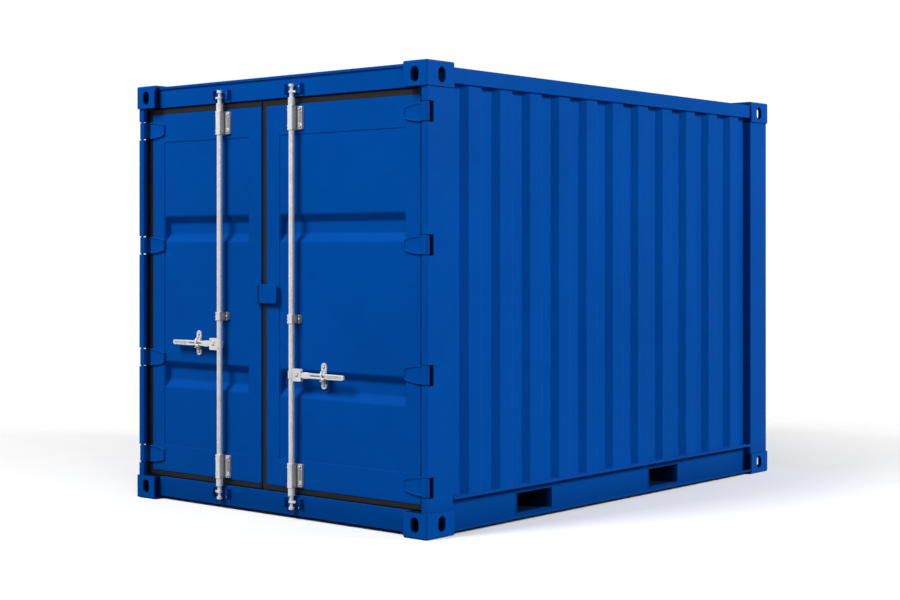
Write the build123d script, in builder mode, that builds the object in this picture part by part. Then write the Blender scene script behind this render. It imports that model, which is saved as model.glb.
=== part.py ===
"""A steel shipping container with two hinged end doors.

The door end faces -Y, the length runs along Y and +Z is up. The origin is the
middle of the footprint, level with the undersides of the four bottom castings.
An inset is a distance from the outer plane of the corner castings, inwards:
side insets are measured along X, end insets along Y.
"""
import os

from build123d import *

# Overall size
length = 3658
width = 2438
height = 2591

# Corner castings
casting_width = 172
casting_length = 228
casting_height = 140
casting_wall = 26
casting_round = 12
end_slot_width = 60
side_slot_width = 62
face_slot_height = 86
face_slot_from_end = 76
end_slot_inset = 90
side_slot_inset = 124
lifting_slot_length = 124.5
lifting_slot_width = 63.5

# Corner posts
post_side_inset = 9
post_front_inset = 12
post_rear_inset = 9
post_wall = 6
post_round = 6
door_jamb_width = 44
door_stop_inset = 110
door_stop_reach = 108
rear_post_thickness = 51

# Door hinges
hinge_side_inset = 24
hinge_end_inset = 27
lowest_hinge_height = 278
highest_hinge_drop = 279
middle_hinge_shares = [0.2984, 0.645]
hinge_height = 103
hinge_pin_radius = 8
pin_clearance = 0.1
hinge_gap = 6
hinge_notch_depth = 66
hinge_backing = 6
hinge_lug_height = 30
hinge_pin_bite = 15
knuckle_radius = 14
knuckle_round = 13
blade_length = 186
blade_straight = 72
blade_tip_height = 65
blade_thickness = 8
blade_rim = 4
blade_rim_width = 10

# Rails along the top and bottom
top_rail_inset = 12
top_rail_depth = 60
top_rail_drop = 26
top_rail_height = 88
rail_wall = 4
bottom_rail_foot = 20
bottom_rail_top = 208
bottom_flange_inset = 4
bottom_web_inset = 55
bottom_web = 5
bottom_flange = 6
bottom_lip = 14

# Corrugated walls
sheet = 2
ridge_inset = 26
ridge_width = 108
ridge_slope = 46
ridge_depth = 30
side_ridges = 11
side_ridge_shift = 10
side_end_flat = 99.5
rear_ridges = 7
rear_end_flat = 106.1

# Corrugated roof
roof_trough_depth = 20
roof_trough_width = 118
roof_trough_slope = 13.5
roof_trough_end_gap = 30
roof_trough_inset = 240
roof_troughs = 16

# Door header and sill
header_inset = 48
header_plate = 5
header_top_drop = 10
header_lip_height = 16
header_lip_reach = 10
stop_plate_inset = 107
stop_plate = 6
header_stop_drop = 24
floor_top = 190

# Floor and underframe
floor_thickness = 28
cross_member_pitch = 260
cross_member_flange = 45
cross_member_wall = 4.5
cross_member_foot = 26
pocket_width = 334
pocket_wall = 6
pocket_foot = 32
pocket_lip = 3
pocket_spacing = 1374
pocket_shift = 124

# Doors
door_face_inset = 57
door_thickness = 45
door_gap = 6
gasket_width = 36
meeting_gap = 10
left_leaf_edge = -135
right_leaf_edge = -89
leaf_bottom = 178
leaf_top_drop = 181
stile_width = 108
top_rail_width = 176
bottom_rail_width = 164
frame_wall = 4
panel_recess = 4
panel_sheet = 3
channel_depth = 36
channel_height = 160
channel_slope = 45
channel_end_gap = 6
channel_shares = [0.2352, 0.7135]
gasket_inset = 62
gasket_depth = 34
gasket_lip = 6
gasket_core_width = 18

# Lock bars
bar_inset = 21
bar_radius = 17
bar_clearance = 0.1
left_bar_x = -461
right_bar_x = 159
sleeve_radius = 20.5
sleeve_height = 46
bar_end_gap = 0.3
collar_radius = 12.5
neck_radius = 9.5
cam_radius = 17
cam_tip_radius = 9
cam_reach = 25
cam_plate = 12
neck_height = 24
disc_radius = 16.5
disc_height = 15
cam_overrun = 125

# Lock bar brackets
end_bracket_height = 143
bottom_bracket_foot = 184
top_bracket_drop = 192
middle_bracket_height = 51
middle_bracket_foot = 1136
bracket_wall = 3.4
bracket_chamfer = 7
bracket_plate = 6
bracket_heel = 31
bracket_toe = 70
bracket_corner = 9
bracket_dish_near = 30
bracket_dish_far = 48
bracket_dish_height = 90
bracket_dish_depth = 3
middle_bracket_toe = 46

# Cam keepers
keeper_width = 136
keeper_height = 60
keeper_plate = 5
keeper_ear = 8
keeper_ear_reach = 22
keeper_end_offset = 94

# Handles
left_handle_height = 992
right_handle_height = 840
hub_offset = 50
hub_height = 72
hub_reach = 33
hub_plate = 4
hub_round = 8
hub_ring_radius = 21
hub_ring_height = 44
hub_web_reach = 28
hub_pin_radius = 6
tongue_thickness = 10
tongue_side_gap = 0.5
tongue_radius = 15
handle_thickness = 18
handle_shoulder_offset = 52
handle_shoulder_height = 38
handle_neck_offset = 122
handle_neck_height = 30
handle_grip_offset = 232
handle_grip_height = 32
handle_tip_height = 29
handle_tip_round = 7
handle_edge_round = 4
handle_length = 373

# Handle catches and centre lock plate
catch_offset = 178
catch_width = 50
catch_height = 151
catch_plate = 6
catch_gap = 5
catch_shelf = 8
catch_shelf_width = 36
catch_shelf_inset = 12
lock_plate_foot = 1248
lock_plate_height = 110
lock_plate_thickness = 29
lock_plate_right = 23
lock_plate_left = -160
lock_plate_chamfer = 14

# Worked out from the sizes above
half_width = width / 2
half_length = length / 2
post_inner_inset = post_side_inset + door_jamb_width
web_inner_inset = bottom_web_inset + bottom_web
roof_inner_inset = top_rail_inset + top_rail_depth
stop_back_inset = stop_plate_inset + stop_plate
casting_top = casting_height
casting_underside = height - casting_height
floor_underside = floor_top - floor_thickness
between_castings = half_width - casting_width
gasket_outer_edge = half_width - post_inner_inset - door_gap
leaf_outer_edge = gasket_outer_edge - gasket_width
leaf_top = height - leaf_top_drop
gasket_bottom = casting_top + door_gap
gasket_top = casting_underside - door_gap
panel_bottom = leaf_bottom + bottom_rail_width
panel_top = leaf_top - top_rail_width
panel_inset = door_face_inset + panel_recess
channel_centres = [panel_bottom + share * (panel_top - panel_bottom) for share in channel_shares]
top_rail_top = height - top_rail_drop
top_rail_bottom = top_rail_top - top_rail_height
header_top = height - header_top_drop
front_pocket_inset = half_length - pocket_shift - pocket_spacing / 2
rear_pocket_inset = front_pocket_inset + pocket_spacing
highest_hinge_height = height - highest_hinge_drop
hinge_span = highest_hinge_height - lowest_hinge_height
middle_hinge_heights = [lowest_hinge_height + share * hinge_span for share in middle_hinge_shares]
hinge_heights = [lowest_hinge_height, *middle_hinge_heights, highest_hinge_height]
hinge_x = half_width - hinge_side_inset
hinge_y = hinge_end_inset - half_length
bar_y = bar_inset - half_length
bar_foot = bottom_bracket_foot - cam_overrun
top_bracket_top = height - top_bracket_drop
bar_top = top_bracket_top + cam_overrun

os.makedirs("parts", exist_ok=True)


def front_plane(inset):
    """The upright plane at an end inset, seen from the doors: X right, Z up."""
    return Plane.XZ.offset(half_length - inset)


def block(x0, x1, y0, y1, z0, z1, mode=Mode.ADD):
    """A rectangular block between six planes."""
    with Locations(((x0 + x1) / 2, (y0 + y1) / 2, (z0 + z1) / 2)):
        Box(abs(x1 - x0), abs(y1 - y0), abs(z1 - z0), mode=mode)


def rectangle(x0, x1, y0, y1, mode=Mode.ADD):
    """A rectangle between four lines of the sketch."""
    with Locations(((x0 + x1) / 2, (y0 + y1) / 2)):
        Rectangle(abs(x1 - x0), abs(y1 - y0), mode=mode)


def outline(points):
    """A face inside a closed line of straight runs."""
    with BuildLine() as line:
        Polyline(*points, close=True)
    make_face(line.edges())


def save(piece, label):
    """Label a finished piece and write it as its own file."""
    piece.label = label
    export_step(piece, f"parts/{label}.step")


def save_pair(piece, label):
    """Write a piece of the right side and its mirror image on the left."""
    save(piece, f"{label}_right")
    with BuildPart() as twin:
        add(mirror(piece, about=Plane.YZ))
    save(twin.part, f"{label}_left")


# Corner castings: a hollow block with a slot in its top, end and side
def corner_casting():
    middle_x = half_width - casting_width / 2
    middle_y = casting_length / 2 - half_length
    middle_z = height - casting_height / 2
    with BuildPart() as casting:
        with Locations((middle_x, middle_y, middle_z)):
            Box(casting_width, casting_length, casting_height)
        corner = (half_width, -half_length, height)
        outer_corner = casting.edges().filter_by(Axis.Z).sort_by_distance(corner)[0]
        top_edges = casting.faces().sort_by(Axis.Z)[-1].edges()
        outer_top = top_edges.sort_by(Axis.Y)[:1] + top_edges.sort_by(Axis.X)[-1:]
        fillet([outer_corner] + list(outer_top), radius=casting_round)
        with Locations((middle_x, middle_y, middle_z)):
            Box(
                casting_width - 2 * casting_wall,
                casting_length - 2 * casting_wall,
                casting_height - 2 * casting_wall,
                mode=Mode.SUBTRACT,
            )
        with BuildSketch(front_plane(0)):
            with Locations((half_width - end_slot_inset, height - face_slot_from_end)):
                SlotOverall(face_slot_height, end_slot_width, rotation=90)
        extrude(amount=-casting_wall, mode=Mode.SUBTRACT)
        with BuildSketch(Plane.YZ.offset(half_width)):
            with Locations((side_slot_inset - half_length, height - face_slot_from_end)):
                SlotOverall(face_slot_height, side_slot_width, rotation=90)
        extrude(amount=-casting_wall, mode=Mode.SUBTRACT)
        with BuildSketch(Plane.XY.offset(height)):
            with Locations((middle_x, middle_y)):
                SlotOverall(lifting_slot_length, lifting_slot_width, rotation=90)
        extrude(amount=-casting_wall, mode=Mode.SUBTRACT)
    return casting.part


def save_castings():
    top_front = corner_casting()
    mid_height = Plane.XY.offset(height / 2)
    for level, upright in (("top", top_front), ("bottom", mirror(top_front, about=mid_height))):
        save_pair(upright, f"casting_front_{level}")
        with BuildPart() as rear:
            add(mirror(upright, about=Plane.XZ))
        save_pair(rear.part, f"casting_rear_{level}")


# Front post: a folded hollow section that carries the hinge pins and the door stop
def front_post():
    inner_x = half_width - post_inner_inset
    outer_x = half_width - post_side_inset
    front_y = post_front_inset - half_length
    back_y = casting_length - half_length
    stop_y = door_stop_inset - half_length
    stop_x = half_width - door_stop_reach
    notch_y = hinge_notch_depth - half_length
    with BuildPart() as post:
        with BuildSketch(Plane.XY.offset(casting_top)) as section:
            outline([
                (outer_x, front_y), (inner_x, front_y), (inner_x, stop_y),
                (stop_x, stop_y), (stop_x, back_y), (outer_x, back_y),
            ])
            fillet(section.vertices().sort_by(Axis.Y)[:2], radius=post_round)
            offset(amount=-post_wall, kind=Kind.INTERSECTION, mode=Mode.SUBTRACT)
        extrude(amount=casting_underside - casting_top)
        for centre in hinge_heights:
            half_notch = hinge_height / 2 + hinge_gap
            with BuildSketch(Plane.XY.offset(centre - half_notch - hinge_lug_height)) as lug:
                rectangle(inner_x, outer_x, front_y, notch_y + hinge_backing)
                fillet(lug.vertices().sort_by(Axis.Y)[:2], radius=post_round)
            extrude(amount=2 * (half_notch + hinge_lug_height))
            block(inner_x - door_gap, half_width, -half_length, notch_y,
                  centre - half_notch, centre + half_notch, mode=Mode.SUBTRACT)
            with Locations((hinge_x, hinge_y, centre)):
                Cylinder(hinge_pin_radius, 2 * (half_notch + hinge_pin_bite))
    return post.part


# Rear post: a hollow angle that closes the rear corner
def rear_post():
    outer_x = half_width - post_side_inset
    outer_y = half_length - post_rear_inset
    leg_x = half_width - casting_width
    leg_y = half_length - casting_length
    with BuildPart() as post:
        with BuildSketch(Plane.XY.offset(casting_top)) as section:
            outline([
                (outer_x, outer_y), (leg_x, outer_y), (leg_x, outer_y - rear_post_thickness),
                (outer_x - rear_post_thickness, outer_y - rear_post_thickness),
                (outer_x - rear_post_thickness, leg_y), (outer_x, leg_y),
            ])
            fillet(section.vertices().sort_by_distance((outer_x, outer_y))[:1], radius=post_round)
            offset(amount=-post_wall, kind=Kind.INTERSECTION, mode=Mode.SUBTRACT)
        extrude(amount=casting_underside - casting_top)
    return post.part


# Rails: square tubes above the walls, lipped channels below the side walls
def top_side_rail():
    outer_x = half_width - top_rail_inset
    with BuildPart() as rail:
        with BuildSketch(Plane.XZ.offset(half_length - casting_length)):
            rectangle(outer_x - top_rail_depth, outer_x, top_rail_bottom, top_rail_top)
            offset(amount=-rail_wall, kind=Kind.INTERSECTION, mode=Mode.SUBTRACT)
        extrude(amount=2 * casting_length - length)
    return rail.part


def pocket_insets():
    return [front_pocket_inset, rear_pocket_inset]


def bottom_side_rail():
    lip_x = half_width - bottom_flange_inset
    web_x = half_width - bottom_web_inset
    inner_x = half_width - web_inner_inset
    foot = bottom_rail_foot
    top = bottom_rail_top
    with BuildPart() as rail:
        with BuildSketch(Plane.XZ.offset(half_length - casting_length)):
            outline([
                (inner_x, foot), (lip_x, foot), (lip_x, foot + bottom_lip),
                (lip_x - bottom_web, foot + bottom_lip), (lip_x - bottom_web, foot + bottom_flange),
                (web_x, foot + bottom_flange), (web_x, top - bottom_flange),
                (lip_x - bottom_web, top - bottom_flange), (lip_x - bottom_web, top - bottom_lip),
                (lip_x, top - bottom_lip), (lip_x, top), (inner_x, top),
            ])
        extrude(amount=2 * casting_length - length)
        for inset in pocket_insets():
            half_pocket = pocket_width / 2 + pocket_wall
            block(inner_x, web_x, inset - half_pocket - half_length, inset + half_pocket - half_length,
                  pocket_foot, floor_underside, mode=Mode.SUBTRACT)
    return rail.part


def rear_rail(foot, top):
    outer_y = half_length - top_rail_inset
    with BuildPart() as rail:
        with BuildSketch(Plane.YZ.offset(-between_castings)):
            rectangle(outer_y - top_rail_depth, outer_y, foot, top)
            offset(amount=-rail_wall, kind=Kind.INTERSECTION, mode=Mode.SUBTRACT)
        extrude(amount=2 * between_castings)
    return rail.part


# Corrugated sheets: one folded line, then the same line one sheet deeper
def folded_line(start, stop, shift, count, end_flat, flat, slope, depth):
    """Places along the sheet and how deep each lies: raised flats above a deep base."""
    pitch = (stop - start - 2 * end_flat - flat - 2 * slope) / (count - 1)
    middle = (start + stop) / 2 + shift
    places = [(start, depth)]
    for number in range(count):
        centre = middle + (number - (count - 1) / 2) * pitch
        places.append((centre - flat / 2 - slope, depth))
        places.append((centre - flat / 2, 0))
        places.append((centre + flat / 2, 0))
        places.append((centre + flat / 2 + slope, depth))
    places.append((stop, depth))
    return places


def side_wall():
    ridge_x = half_width - ridge_inset
    line = folded_line(casting_length - half_length, half_length - casting_length, side_ridge_shift,
                       side_ridges, side_end_flat, ridge_width, ridge_slope, ridge_depth)
    with BuildPart() as wall:
        with BuildSketch(Plane.XY.offset(bottom_rail_top)):
            outer = [(ridge_x - depth, place) for place, depth in line]
            inner = [(x - sheet, place) for x, place in reversed(outer)]
            outline(outer + inner)
        extrude(amount=top_rail_bottom - bottom_rail_top)
    return wall.part


def rear_wall():
    ridge_y = half_length - ridge_inset
    line = folded_line(-between_castings, between_castings, 0,
                       rear_ridges, rear_end_flat, ridge_width, ridge_slope, ridge_depth)
    with BuildPart() as wall:
        with BuildSketch(Plane.XY.offset(bottom_rail_top)):
            outer = [(place, ridge_y - depth) for place, depth in line]
            inner = [(place, y - sheet) for place, y in reversed(outer)]
            outline(outer + inner)
        extrude(amount=top_rail_bottom - bottom_rail_top)
    return wall.part


def tub(face, foot, size, slope, depth, mode=Mode.ADD):
    """A block that narrows by the slope on all four sides, between two parallel planes."""
    with BuildSketch(face) as wide:
        Rectangle(*size)
    with BuildSketch(foot) as narrow:
        Rectangle(size[0] - 2 * slope * depth, size[1] - 2 * slope * depth)
    loft([wide.sketch, narrow.sketch], ruled=True, mode=mode)


def press(face, centres, size, slope, depth, thickness):
    """Press tubs into a sheet that lies behind a face plane: each has the sheet's thickness on its slopes."""
    grow = 2 * thickness * (slope ** 2 + 1) ** 0.5
    outer = (size[0] + grow, size[1] + grow)
    for centre in centres:
        plane = Plane(face.from_local_coords(centre), x_dir=face.x_dir, z_dir=face.z_dir)
        tub(plane, plane.offset(-depth - thickness), outer, slope, depth + thickness)
        tub(plane, plane.offset(-depth), size, slope, depth, mode=Mode.SUBTRACT)


def roof():
    front_y = stop_back_inset - half_length
    back_y = half_length - roof_inner_inset
    reach = half_width - roof_inner_inset
    first_y = roof_trough_inset + roof_trough_width / 2 - half_length
    pitch = -2 * first_y / (roof_troughs - 1)
    middle_y = (front_y + back_y) / 2
    face = Plane((0, middle_y, top_rail_top))
    size = (2 * (reach - roof_trough_end_gap), roof_trough_width)
    with BuildPart() as sheet_part:
        with BuildSketch(face):
            Rectangle(2 * reach, back_y - front_y)
        extrude(amount=-sheet)
        places = [(0, first_y + number * pitch - middle_y, 0) for number in range(roof_troughs)]
        press(face, places, size, roof_trough_slope / roof_trough_depth, roof_trough_depth, sheet)
        for side in (-1, 1):
            for end in (-1, 1):
                block(side * between_castings, side * half_width,
                      end * (half_length - casting_length), end * half_length,
                      casting_underside, height, mode=Mode.SUBTRACT)
    return sheet_part.part


# Cam keepers: a plate with two ears, open to the front so the cam can swing clear
def keepers(middle_z):
    back = header_inset - half_length
    front = back - keeper_plate
    with BuildPart() as pair:
        for bar_x in (left_bar_x, right_bar_x):
            with BuildSketch(Plane.XY.offset(middle_z - keeper_height / 2)):
                rectangle(bar_x - keeper_width / 2, bar_x + keeper_width / 2, front, back)
                for side in (-1, 1):
                    ear = bar_x + side * (keeper_width - keeper_ear) / 2
                    rectangle(ear - keeper_ear / 2, ear + keeper_ear / 2, front - keeper_ear_reach, back)
            extrude(amount=keeper_height)
    return pair.part.solids()


def door_header():
    front = header_inset - half_length
    stop = stop_plate_inset - half_length
    back = stop_back_inset - half_length
    lip = front - header_lip_reach
    plate = header_plate
    with BuildPart() as header:
        with BuildSketch(Plane.YZ.offset(-between_castings)):
            rectangle(front, back, casting_underside, header_top)
            rectangle(lip, front, header_top - header_lip_height, header_top)
            rectangle(front + plate, stop, casting_underside + plate, header_top - plate, mode=Mode.SUBTRACT)
        extrude(amount=2 * between_castings)
        stop_half = half_width - door_stop_reach
        block(-stop_half, stop_half, stop, back, casting_underside - header_stop_drop, casting_underside)
    return Compound([header.part.solid(), *keepers(height - keeper_end_offset)])


def door_sill():
    front = header_inset - half_length
    stop = stop_plate_inset - half_length
    back = stop_back_inset - half_length
    plate = header_plate
    with BuildPart() as sill:
        with BuildSketch(Plane.YZ.offset(-between_castings)):
            rectangle(front, back, bottom_rail_foot, casting_top)
            rectangle(front + plate, stop, bottom_rail_foot + plate, casting_top - plate, mode=Mode.SUBTRACT)
        extrude(amount=2 * between_castings)
        stop_half = half_width - door_stop_reach
        block(-stop_half, stop_half, stop, back, casting_top, floor_top)
    return Compound([sill.part.solid(), *keepers(keeper_end_offset)])


# Floor and underframe
def floor():
    front_y = stop_back_inset - half_length
    notch_y = casting_length - half_length
    back_y = half_length - roof_inner_inset
    reach = half_width - web_inner_inset
    notch_x = half_width - door_stop_reach
    with BuildPart() as deck:
        with BuildSketch(Plane.XY.offset(floor_underside)):
            rectangle(-notch_x, notch_x, front_y, notch_y)
            rectangle(-reach, reach, notch_y, back_y)
        extrude(amount=floor_thickness)
    return deck.part


def cross_members():
    reach = half_width - web_inner_inset
    half_pocket = pocket_width / 2 + pocket_wall
    bays = [
        (casting_length, front_pocket_inset - half_pocket),
        (front_pocket_inset + half_pocket, rear_pocket_inset - half_pocket),
        (rear_pocket_inset + half_pocket, length - casting_length),
    ]
    with BuildPart() as members:
        for start, stop in bays:
            count = round((stop - start) / cross_member_pitch) - 1
            for number in range(1, count + 1):
                middle = start + (stop - start) * number / (count + 1) - half_length
                web = middle - cross_member_flange / 2
                with BuildSketch(Plane.YZ.offset(-reach)):
                    rectangle(web, web + cross_member_flange, cross_member_foot, floor_underside)
                    rectangle(web + cross_member_wall, web + cross_member_flange,
                              cross_member_foot + cross_member_wall, floor_underside - cross_member_wall,
                              mode=Mode.SUBTRACT)
                extrude(amount=2 * reach)
    return members.part


def fork_pockets():
    reach = half_width - bottom_web_inset + pocket_lip
    inner = pocket_width / 2
    outer = inner + pocket_wall
    plate_edges = [
        (-outer, outer, pocket_foot, pocket_foot + pocket_wall),
        (-outer, outer, floor_underside - pocket_wall, floor_underside),
        (-outer, -inner, pocket_foot + pocket_wall, floor_underside - pocket_wall),
        (inner, outer, pocket_foot + pocket_wall, floor_underside - pocket_wall),
    ]
    plates = []
    for inset in pocket_insets():
        middle = inset - half_length
        for near, far, foot, top in plate_edges:
            with BuildPart() as plate:
                block(-reach, reach, middle + near, middle + far, foot, top)
            plates.append(plate.part.solid())
    return Compound(plates)


# Door leaves: tube stiles, channel rails and a pressed panel between them
def leaf_frame(left, right):
    front = door_face_inset - half_length
    back = front + door_thickness
    with BuildPart() as frame:
        for edge in (left, right - stile_width):
            with BuildSketch(Plane.XY.offset(leaf_bottom)):
                rectangle(edge, edge + stile_width, front, back)
                offset(amount=-frame_wall, kind=Kind.INTERSECTION, mode=Mode.SUBTRACT)
            extrude(amount=leaf_top - leaf_bottom)
        for foot, top in ((leaf_bottom, panel_bottom), (panel_top, leaf_top)):
            with BuildSketch(Plane.YZ.offset(left + stile_width)):
                rectangle(front, back, foot, top)
                rectangle(front + frame_wall, back, foot + frame_wall, top - frame_wall, mode=Mode.SUBTRACT)
            extrude(amount=right - left - 2 * stile_width)
    return frame.part


def leaf_panel(left, right):
    middle_x = (left + right) / 2
    wide = right - left - 2 * stile_width
    tall = panel_top - panel_bottom
    middle_z = (panel_top + panel_bottom) / 2
    face = Plane((middle_x, panel_inset - half_length, middle_z), x_dir=(1, 0, 0), z_dir=(0, -1, 0))
    with BuildPart() as panel:
        with BuildSketch(face):
            Rectangle(wide, tall)
        extrude(amount=-panel_sheet)
        places = [(0, centre - middle_z, 0) for centre in channel_centres]
        size = (wide - 2 * channel_end_gap, channel_height)
        press(face, places, size, channel_slope / channel_depth, channel_depth, panel_sheet)
    return panel.part


def leaf_gasket(leaf, left, right):
    """Two lips on a narrower core, round the edges of a leaf that lies between leaf[0] and leaf[1]."""
    core = gasket_core_width
    layers = [
        (gasket_inset, gasket_lip, 0),
        (gasket_inset + gasket_lip, gasket_depth - 2 * gasket_lip, gasket_width - core),
        (gasket_inset + gasket_depth - gasket_lip, gasket_lip, 0),
    ]
    with BuildPart() as gasket:
        for inset, depth, shrink in layers:
            outer_left = min(left + shrink, leaf[0])
            outer_right = max(right - shrink, leaf[1])
            with BuildSketch(front_plane(inset)):
                rectangle(outer_left, outer_right, gasket_bottom + shrink / 2, gasket_top - shrink / 2)
                rectangle(leaf[0], leaf[1], leaf_bottom, leaf_top, mode=Mode.SUBTRACT)
            extrude(amount=-depth)
    return gasket.part


# Hinges: a knuckle round the pin and a blade that curves in to its tip between raised edges
def blade_face(start_x, straight_x, tip_x, foot, top, tip_foot, tip_top):
    with BuildLine() as edges:
        Line((start_x, foot), (start_x, top))
        Line((start_x, top), (straight_x, top))
        TangentArc((straight_x, top), (tip_x, tip_top), tangent=(-1, 0))
        Line((tip_x, tip_top), (tip_x, tip_foot))
        TangentArc((straight_x, foot), (tip_x, tip_foot), tangent=(-1, 0))
        Line((straight_x, foot), (start_x, foot))
    make_face(edges.edges())


def hinges():
    back = door_face_inset - half_length
    inner_x = half_width - post_inner_inset
    straight_x = inner_x - blade_straight
    tip_x = hinge_x - blade_length
    outer_x = hinge_x + knuckle_radius
    front = hinge_y - knuckle_radius
    rim = blade_rim_width
    with BuildPart() as straps:
        for centre in hinge_heights:
            foot = centre - hinge_height / 2
            top = centre + hinge_height / 2
            tip_foot = centre - blade_tip_height / 2
            tip_top = centre + blade_tip_height / 2
            with BuildSketch(Plane.XY.offset(foot)) as knuckle:
                rectangle(inner_x, outer_x, front, back)
                fillet(knuckle.vertices().group_by(Axis.X)[-1], radius=knuckle_round)
                with Locations((hinge_x, hinge_y)):
                    Circle(hinge_pin_radius + pin_clearance, mode=Mode.SUBTRACT)
            extrude(amount=hinge_height)
            with BuildSketch(front_plane(door_face_inset)):
                blade_face(inner_x, straight_x, tip_x, foot, top, tip_foot, tip_top)
            extrude(amount=blade_thickness + blade_rim)
            with BuildSketch(front_plane(door_face_inset - blade_thickness)):
                blade_face(leaf_outer_edge, straight_x, tip_x,
                           foot + rim, top - rim, tip_foot + rim, tip_top - rim)
            extrude(amount=blade_rim, mode=Mode.SUBTRACT)
    return straps.part


# Brackets: a chamfered housing round the bar, on a dished plate that is bolted to the leaf
def bar_brackets(bar_x):
    sizes = [
        (bottom_bracket_foot, end_bracket_height, bracket_toe, door_face_inset),
        (middle_bracket_foot, middle_bracket_height, middle_bracket_toe, panel_inset),
        (top_bracket_top - end_bracket_height, end_bracket_height, bracket_toe, door_face_inset),
    ]
    bore = bar_radius + bar_clearance
    outer = bore + bracket_wall
    with BuildPart() as brackets:
        for foot, tall, toe, seat_inset in sizes:
            middle_z = foot + tall / 2
            middle_x = bar_x + (toe - bracket_heel) / 2
            with BuildSketch(front_plane(seat_inset)):
                with Locations((middle_x, middle_z)):
                    RectangleRounded(toe + bracket_heel, tall, bracket_corner)
            extrude(amount=bracket_plate)
            with BuildSketch(Plane.XY.offset(foot)) as housing:
                rectangle(bar_x - outer, bar_x + outer, bar_y - outer, seat_inset - half_length)
                chamfer(housing.vertices().group_by(Axis.Y)[0], length=bracket_chamfer)
            extrude(amount=tall)
            with Locations((bar_x, bar_y, middle_z)):
                Cylinder(bore, tall, mode=Mode.SUBTRACT)
            if tall > bracket_dish_height:
                dish = front_plane(seat_inset - bracket_plate)
                with BuildSketch(dish):
                    with Locations((bar_x + (bracket_dish_near + bracket_dish_far) / 2, middle_z)):
                        Rectangle(bracket_dish_far - bracket_dish_near, bracket_dish_height)
                extrude(amount=-bracket_dish_depth, mode=Mode.SUBTRACT)
    return brackets.part


# Lock bar: a turned bar with a cam at each end and a fork for the handle
def lock_bar(bar_x, handle_height, reach):
    sleeve_top = bottom_bracket_foot - bar_end_gap
    sleeve_foot = sleeve_top - sleeve_height
    half = [
        (0, bar_foot), (disc_radius, bar_foot), (disc_radius, bar_foot + disc_height),
        (neck_radius, bar_foot + disc_height), (neck_radius, bar_foot + disc_height + neck_height),
        (collar_radius, bar_foot + disc_height + neck_height), (collar_radius, sleeve_foot),
        (sleeve_radius, sleeve_foot), (sleeve_radius, sleeve_top), (bar_radius, sleeve_top),
    ]
    middle = (bar_foot + bar_top) / 2
    other = [(radius, 2 * middle - z) for radius, z in reversed(half)]
    hub_x = bar_x + reach * hub_offset
    gap = tongue_thickness / 2 + tongue_side_gap
    cam_foot = bar_foot + disc_height + neck_height
    with BuildPart() as bar:
        with BuildSketch(Plane((bar_x, bar_y, 0), x_dir=(1, 0, 0), z_dir=(0, -1, 0))):
            outline(half + other)
        revolve(axis=Axis((bar_x, bar_y, 0), (0, 0, 1)))
        for foot in (cam_foot, 2 * middle - cam_foot - cam_plate):
            with BuildSketch(Plane.XY.offset(foot)):
                with Locations((bar_x, bar_y)):
                    Circle(cam_radius)
                with Locations((bar_x + reach * cam_reach, bar_y)):
                    Circle(cam_tip_radius)
                make_hull()
            extrude(amount=cam_plate)
        with Locations((bar_x, bar_y, handle_height)):
            Cylinder(hub_ring_radius, hub_ring_height)
        for inset in (bar_inset - gap - hub_plate, bar_inset + gap):
            with BuildSketch(front_plane(inset)) as cheek:
                rectangle(bar_x, hub_x + reach * hub_reach,
                          handle_height - hub_height / 2, handle_height + hub_height / 2)
                outer_side = cheek.vertices().sort_by(Axis.X, reverse=reach > 0)[:2]
                fillet(outer_side, radius=hub_round)
            extrude(amount=-hub_plate)
        block(bar_x, bar_x + reach * hub_web_reach, bar_y - gap, bar_y + gap,
              handle_height - hub_height / 2, handle_height + hub_height / 2)
        with BuildSketch(front_plane(bar_inset - gap - hub_plate / 2)):
            with Locations((hub_x, handle_height)):
                Circle(hub_pin_radius)
        extrude(amount=-(2 * gap + hub_plate))
    return bar.part


def handle(bar_x, handle_height, reach):
    hub_x = bar_x + reach * hub_offset
    stations = [
        (handle_shoulder_offset, handle_shoulder_height), (handle_neck_offset, handle_neck_height),
        (handle_grip_offset, handle_grip_height), (handle_length, handle_tip_height),
    ]
    upper = [(hub_x + reach * offset, handle_height + tall / 2) for offset, tall in stations]
    lower = [(x, 2 * handle_height - z) for x, z in reversed(upper)]
    with BuildPart() as lever:
        with BuildSketch(front_plane(bar_inset - handle_thickness / 2)) as bar_side:
            outline(upper + lower)
            tip = bar_side.vertices().sort_by(Axis.X, reverse=reach > 0)[:2]
            fillet(tip, radius=handle_tip_round)
        extrude(amount=-handle_thickness)
        layers = lever.edges().group_by(Axis.Y)
        fillet(layers[0] + layers[-1], radius=handle_edge_round)
        with BuildSketch(front_plane(bar_inset - tongue_thickness / 2)):
            with Locations((hub_x, handle_height)):
                Circle(tongue_radius)
            rectangle(hub_x, hub_x + reach * (handle_shoulder_offset + handle_edge_round),
                      handle_height - tongue_radius, handle_height + tongue_radius)
        extrude(amount=-tongue_thickness)
        with BuildSketch(front_plane(0)):
            with Locations((hub_x, handle_height)):
                Circle(hub_pin_radius + pin_clearance)
        extrude(amount=-2 * bar_inset, mode=Mode.SUBTRACT)
    return lever.part


# Catch: an upright plate with a shelf below the handle
def handle_catch(bar_x, handle_height, reach):
    middle = bar_x + reach * (hub_offset + catch_offset)
    shelf_top = handle_height - handle_shoulder_height / 2 - catch_gap
    with BuildPart() as catch:
        with BuildSketch(front_plane(panel_inset)):
            with Locations((middle, handle_height)):
                SlotOverall(catch_height, catch_width, rotation=90)
        extrude(amount=catch_plate)
        block(middle - catch_shelf_width / 2, middle + catch_shelf_width / 2,
              catch_shelf_inset - half_length, panel_inset - half_length,
              shelf_top - catch_shelf, shelf_top)
    return catch.part


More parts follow.
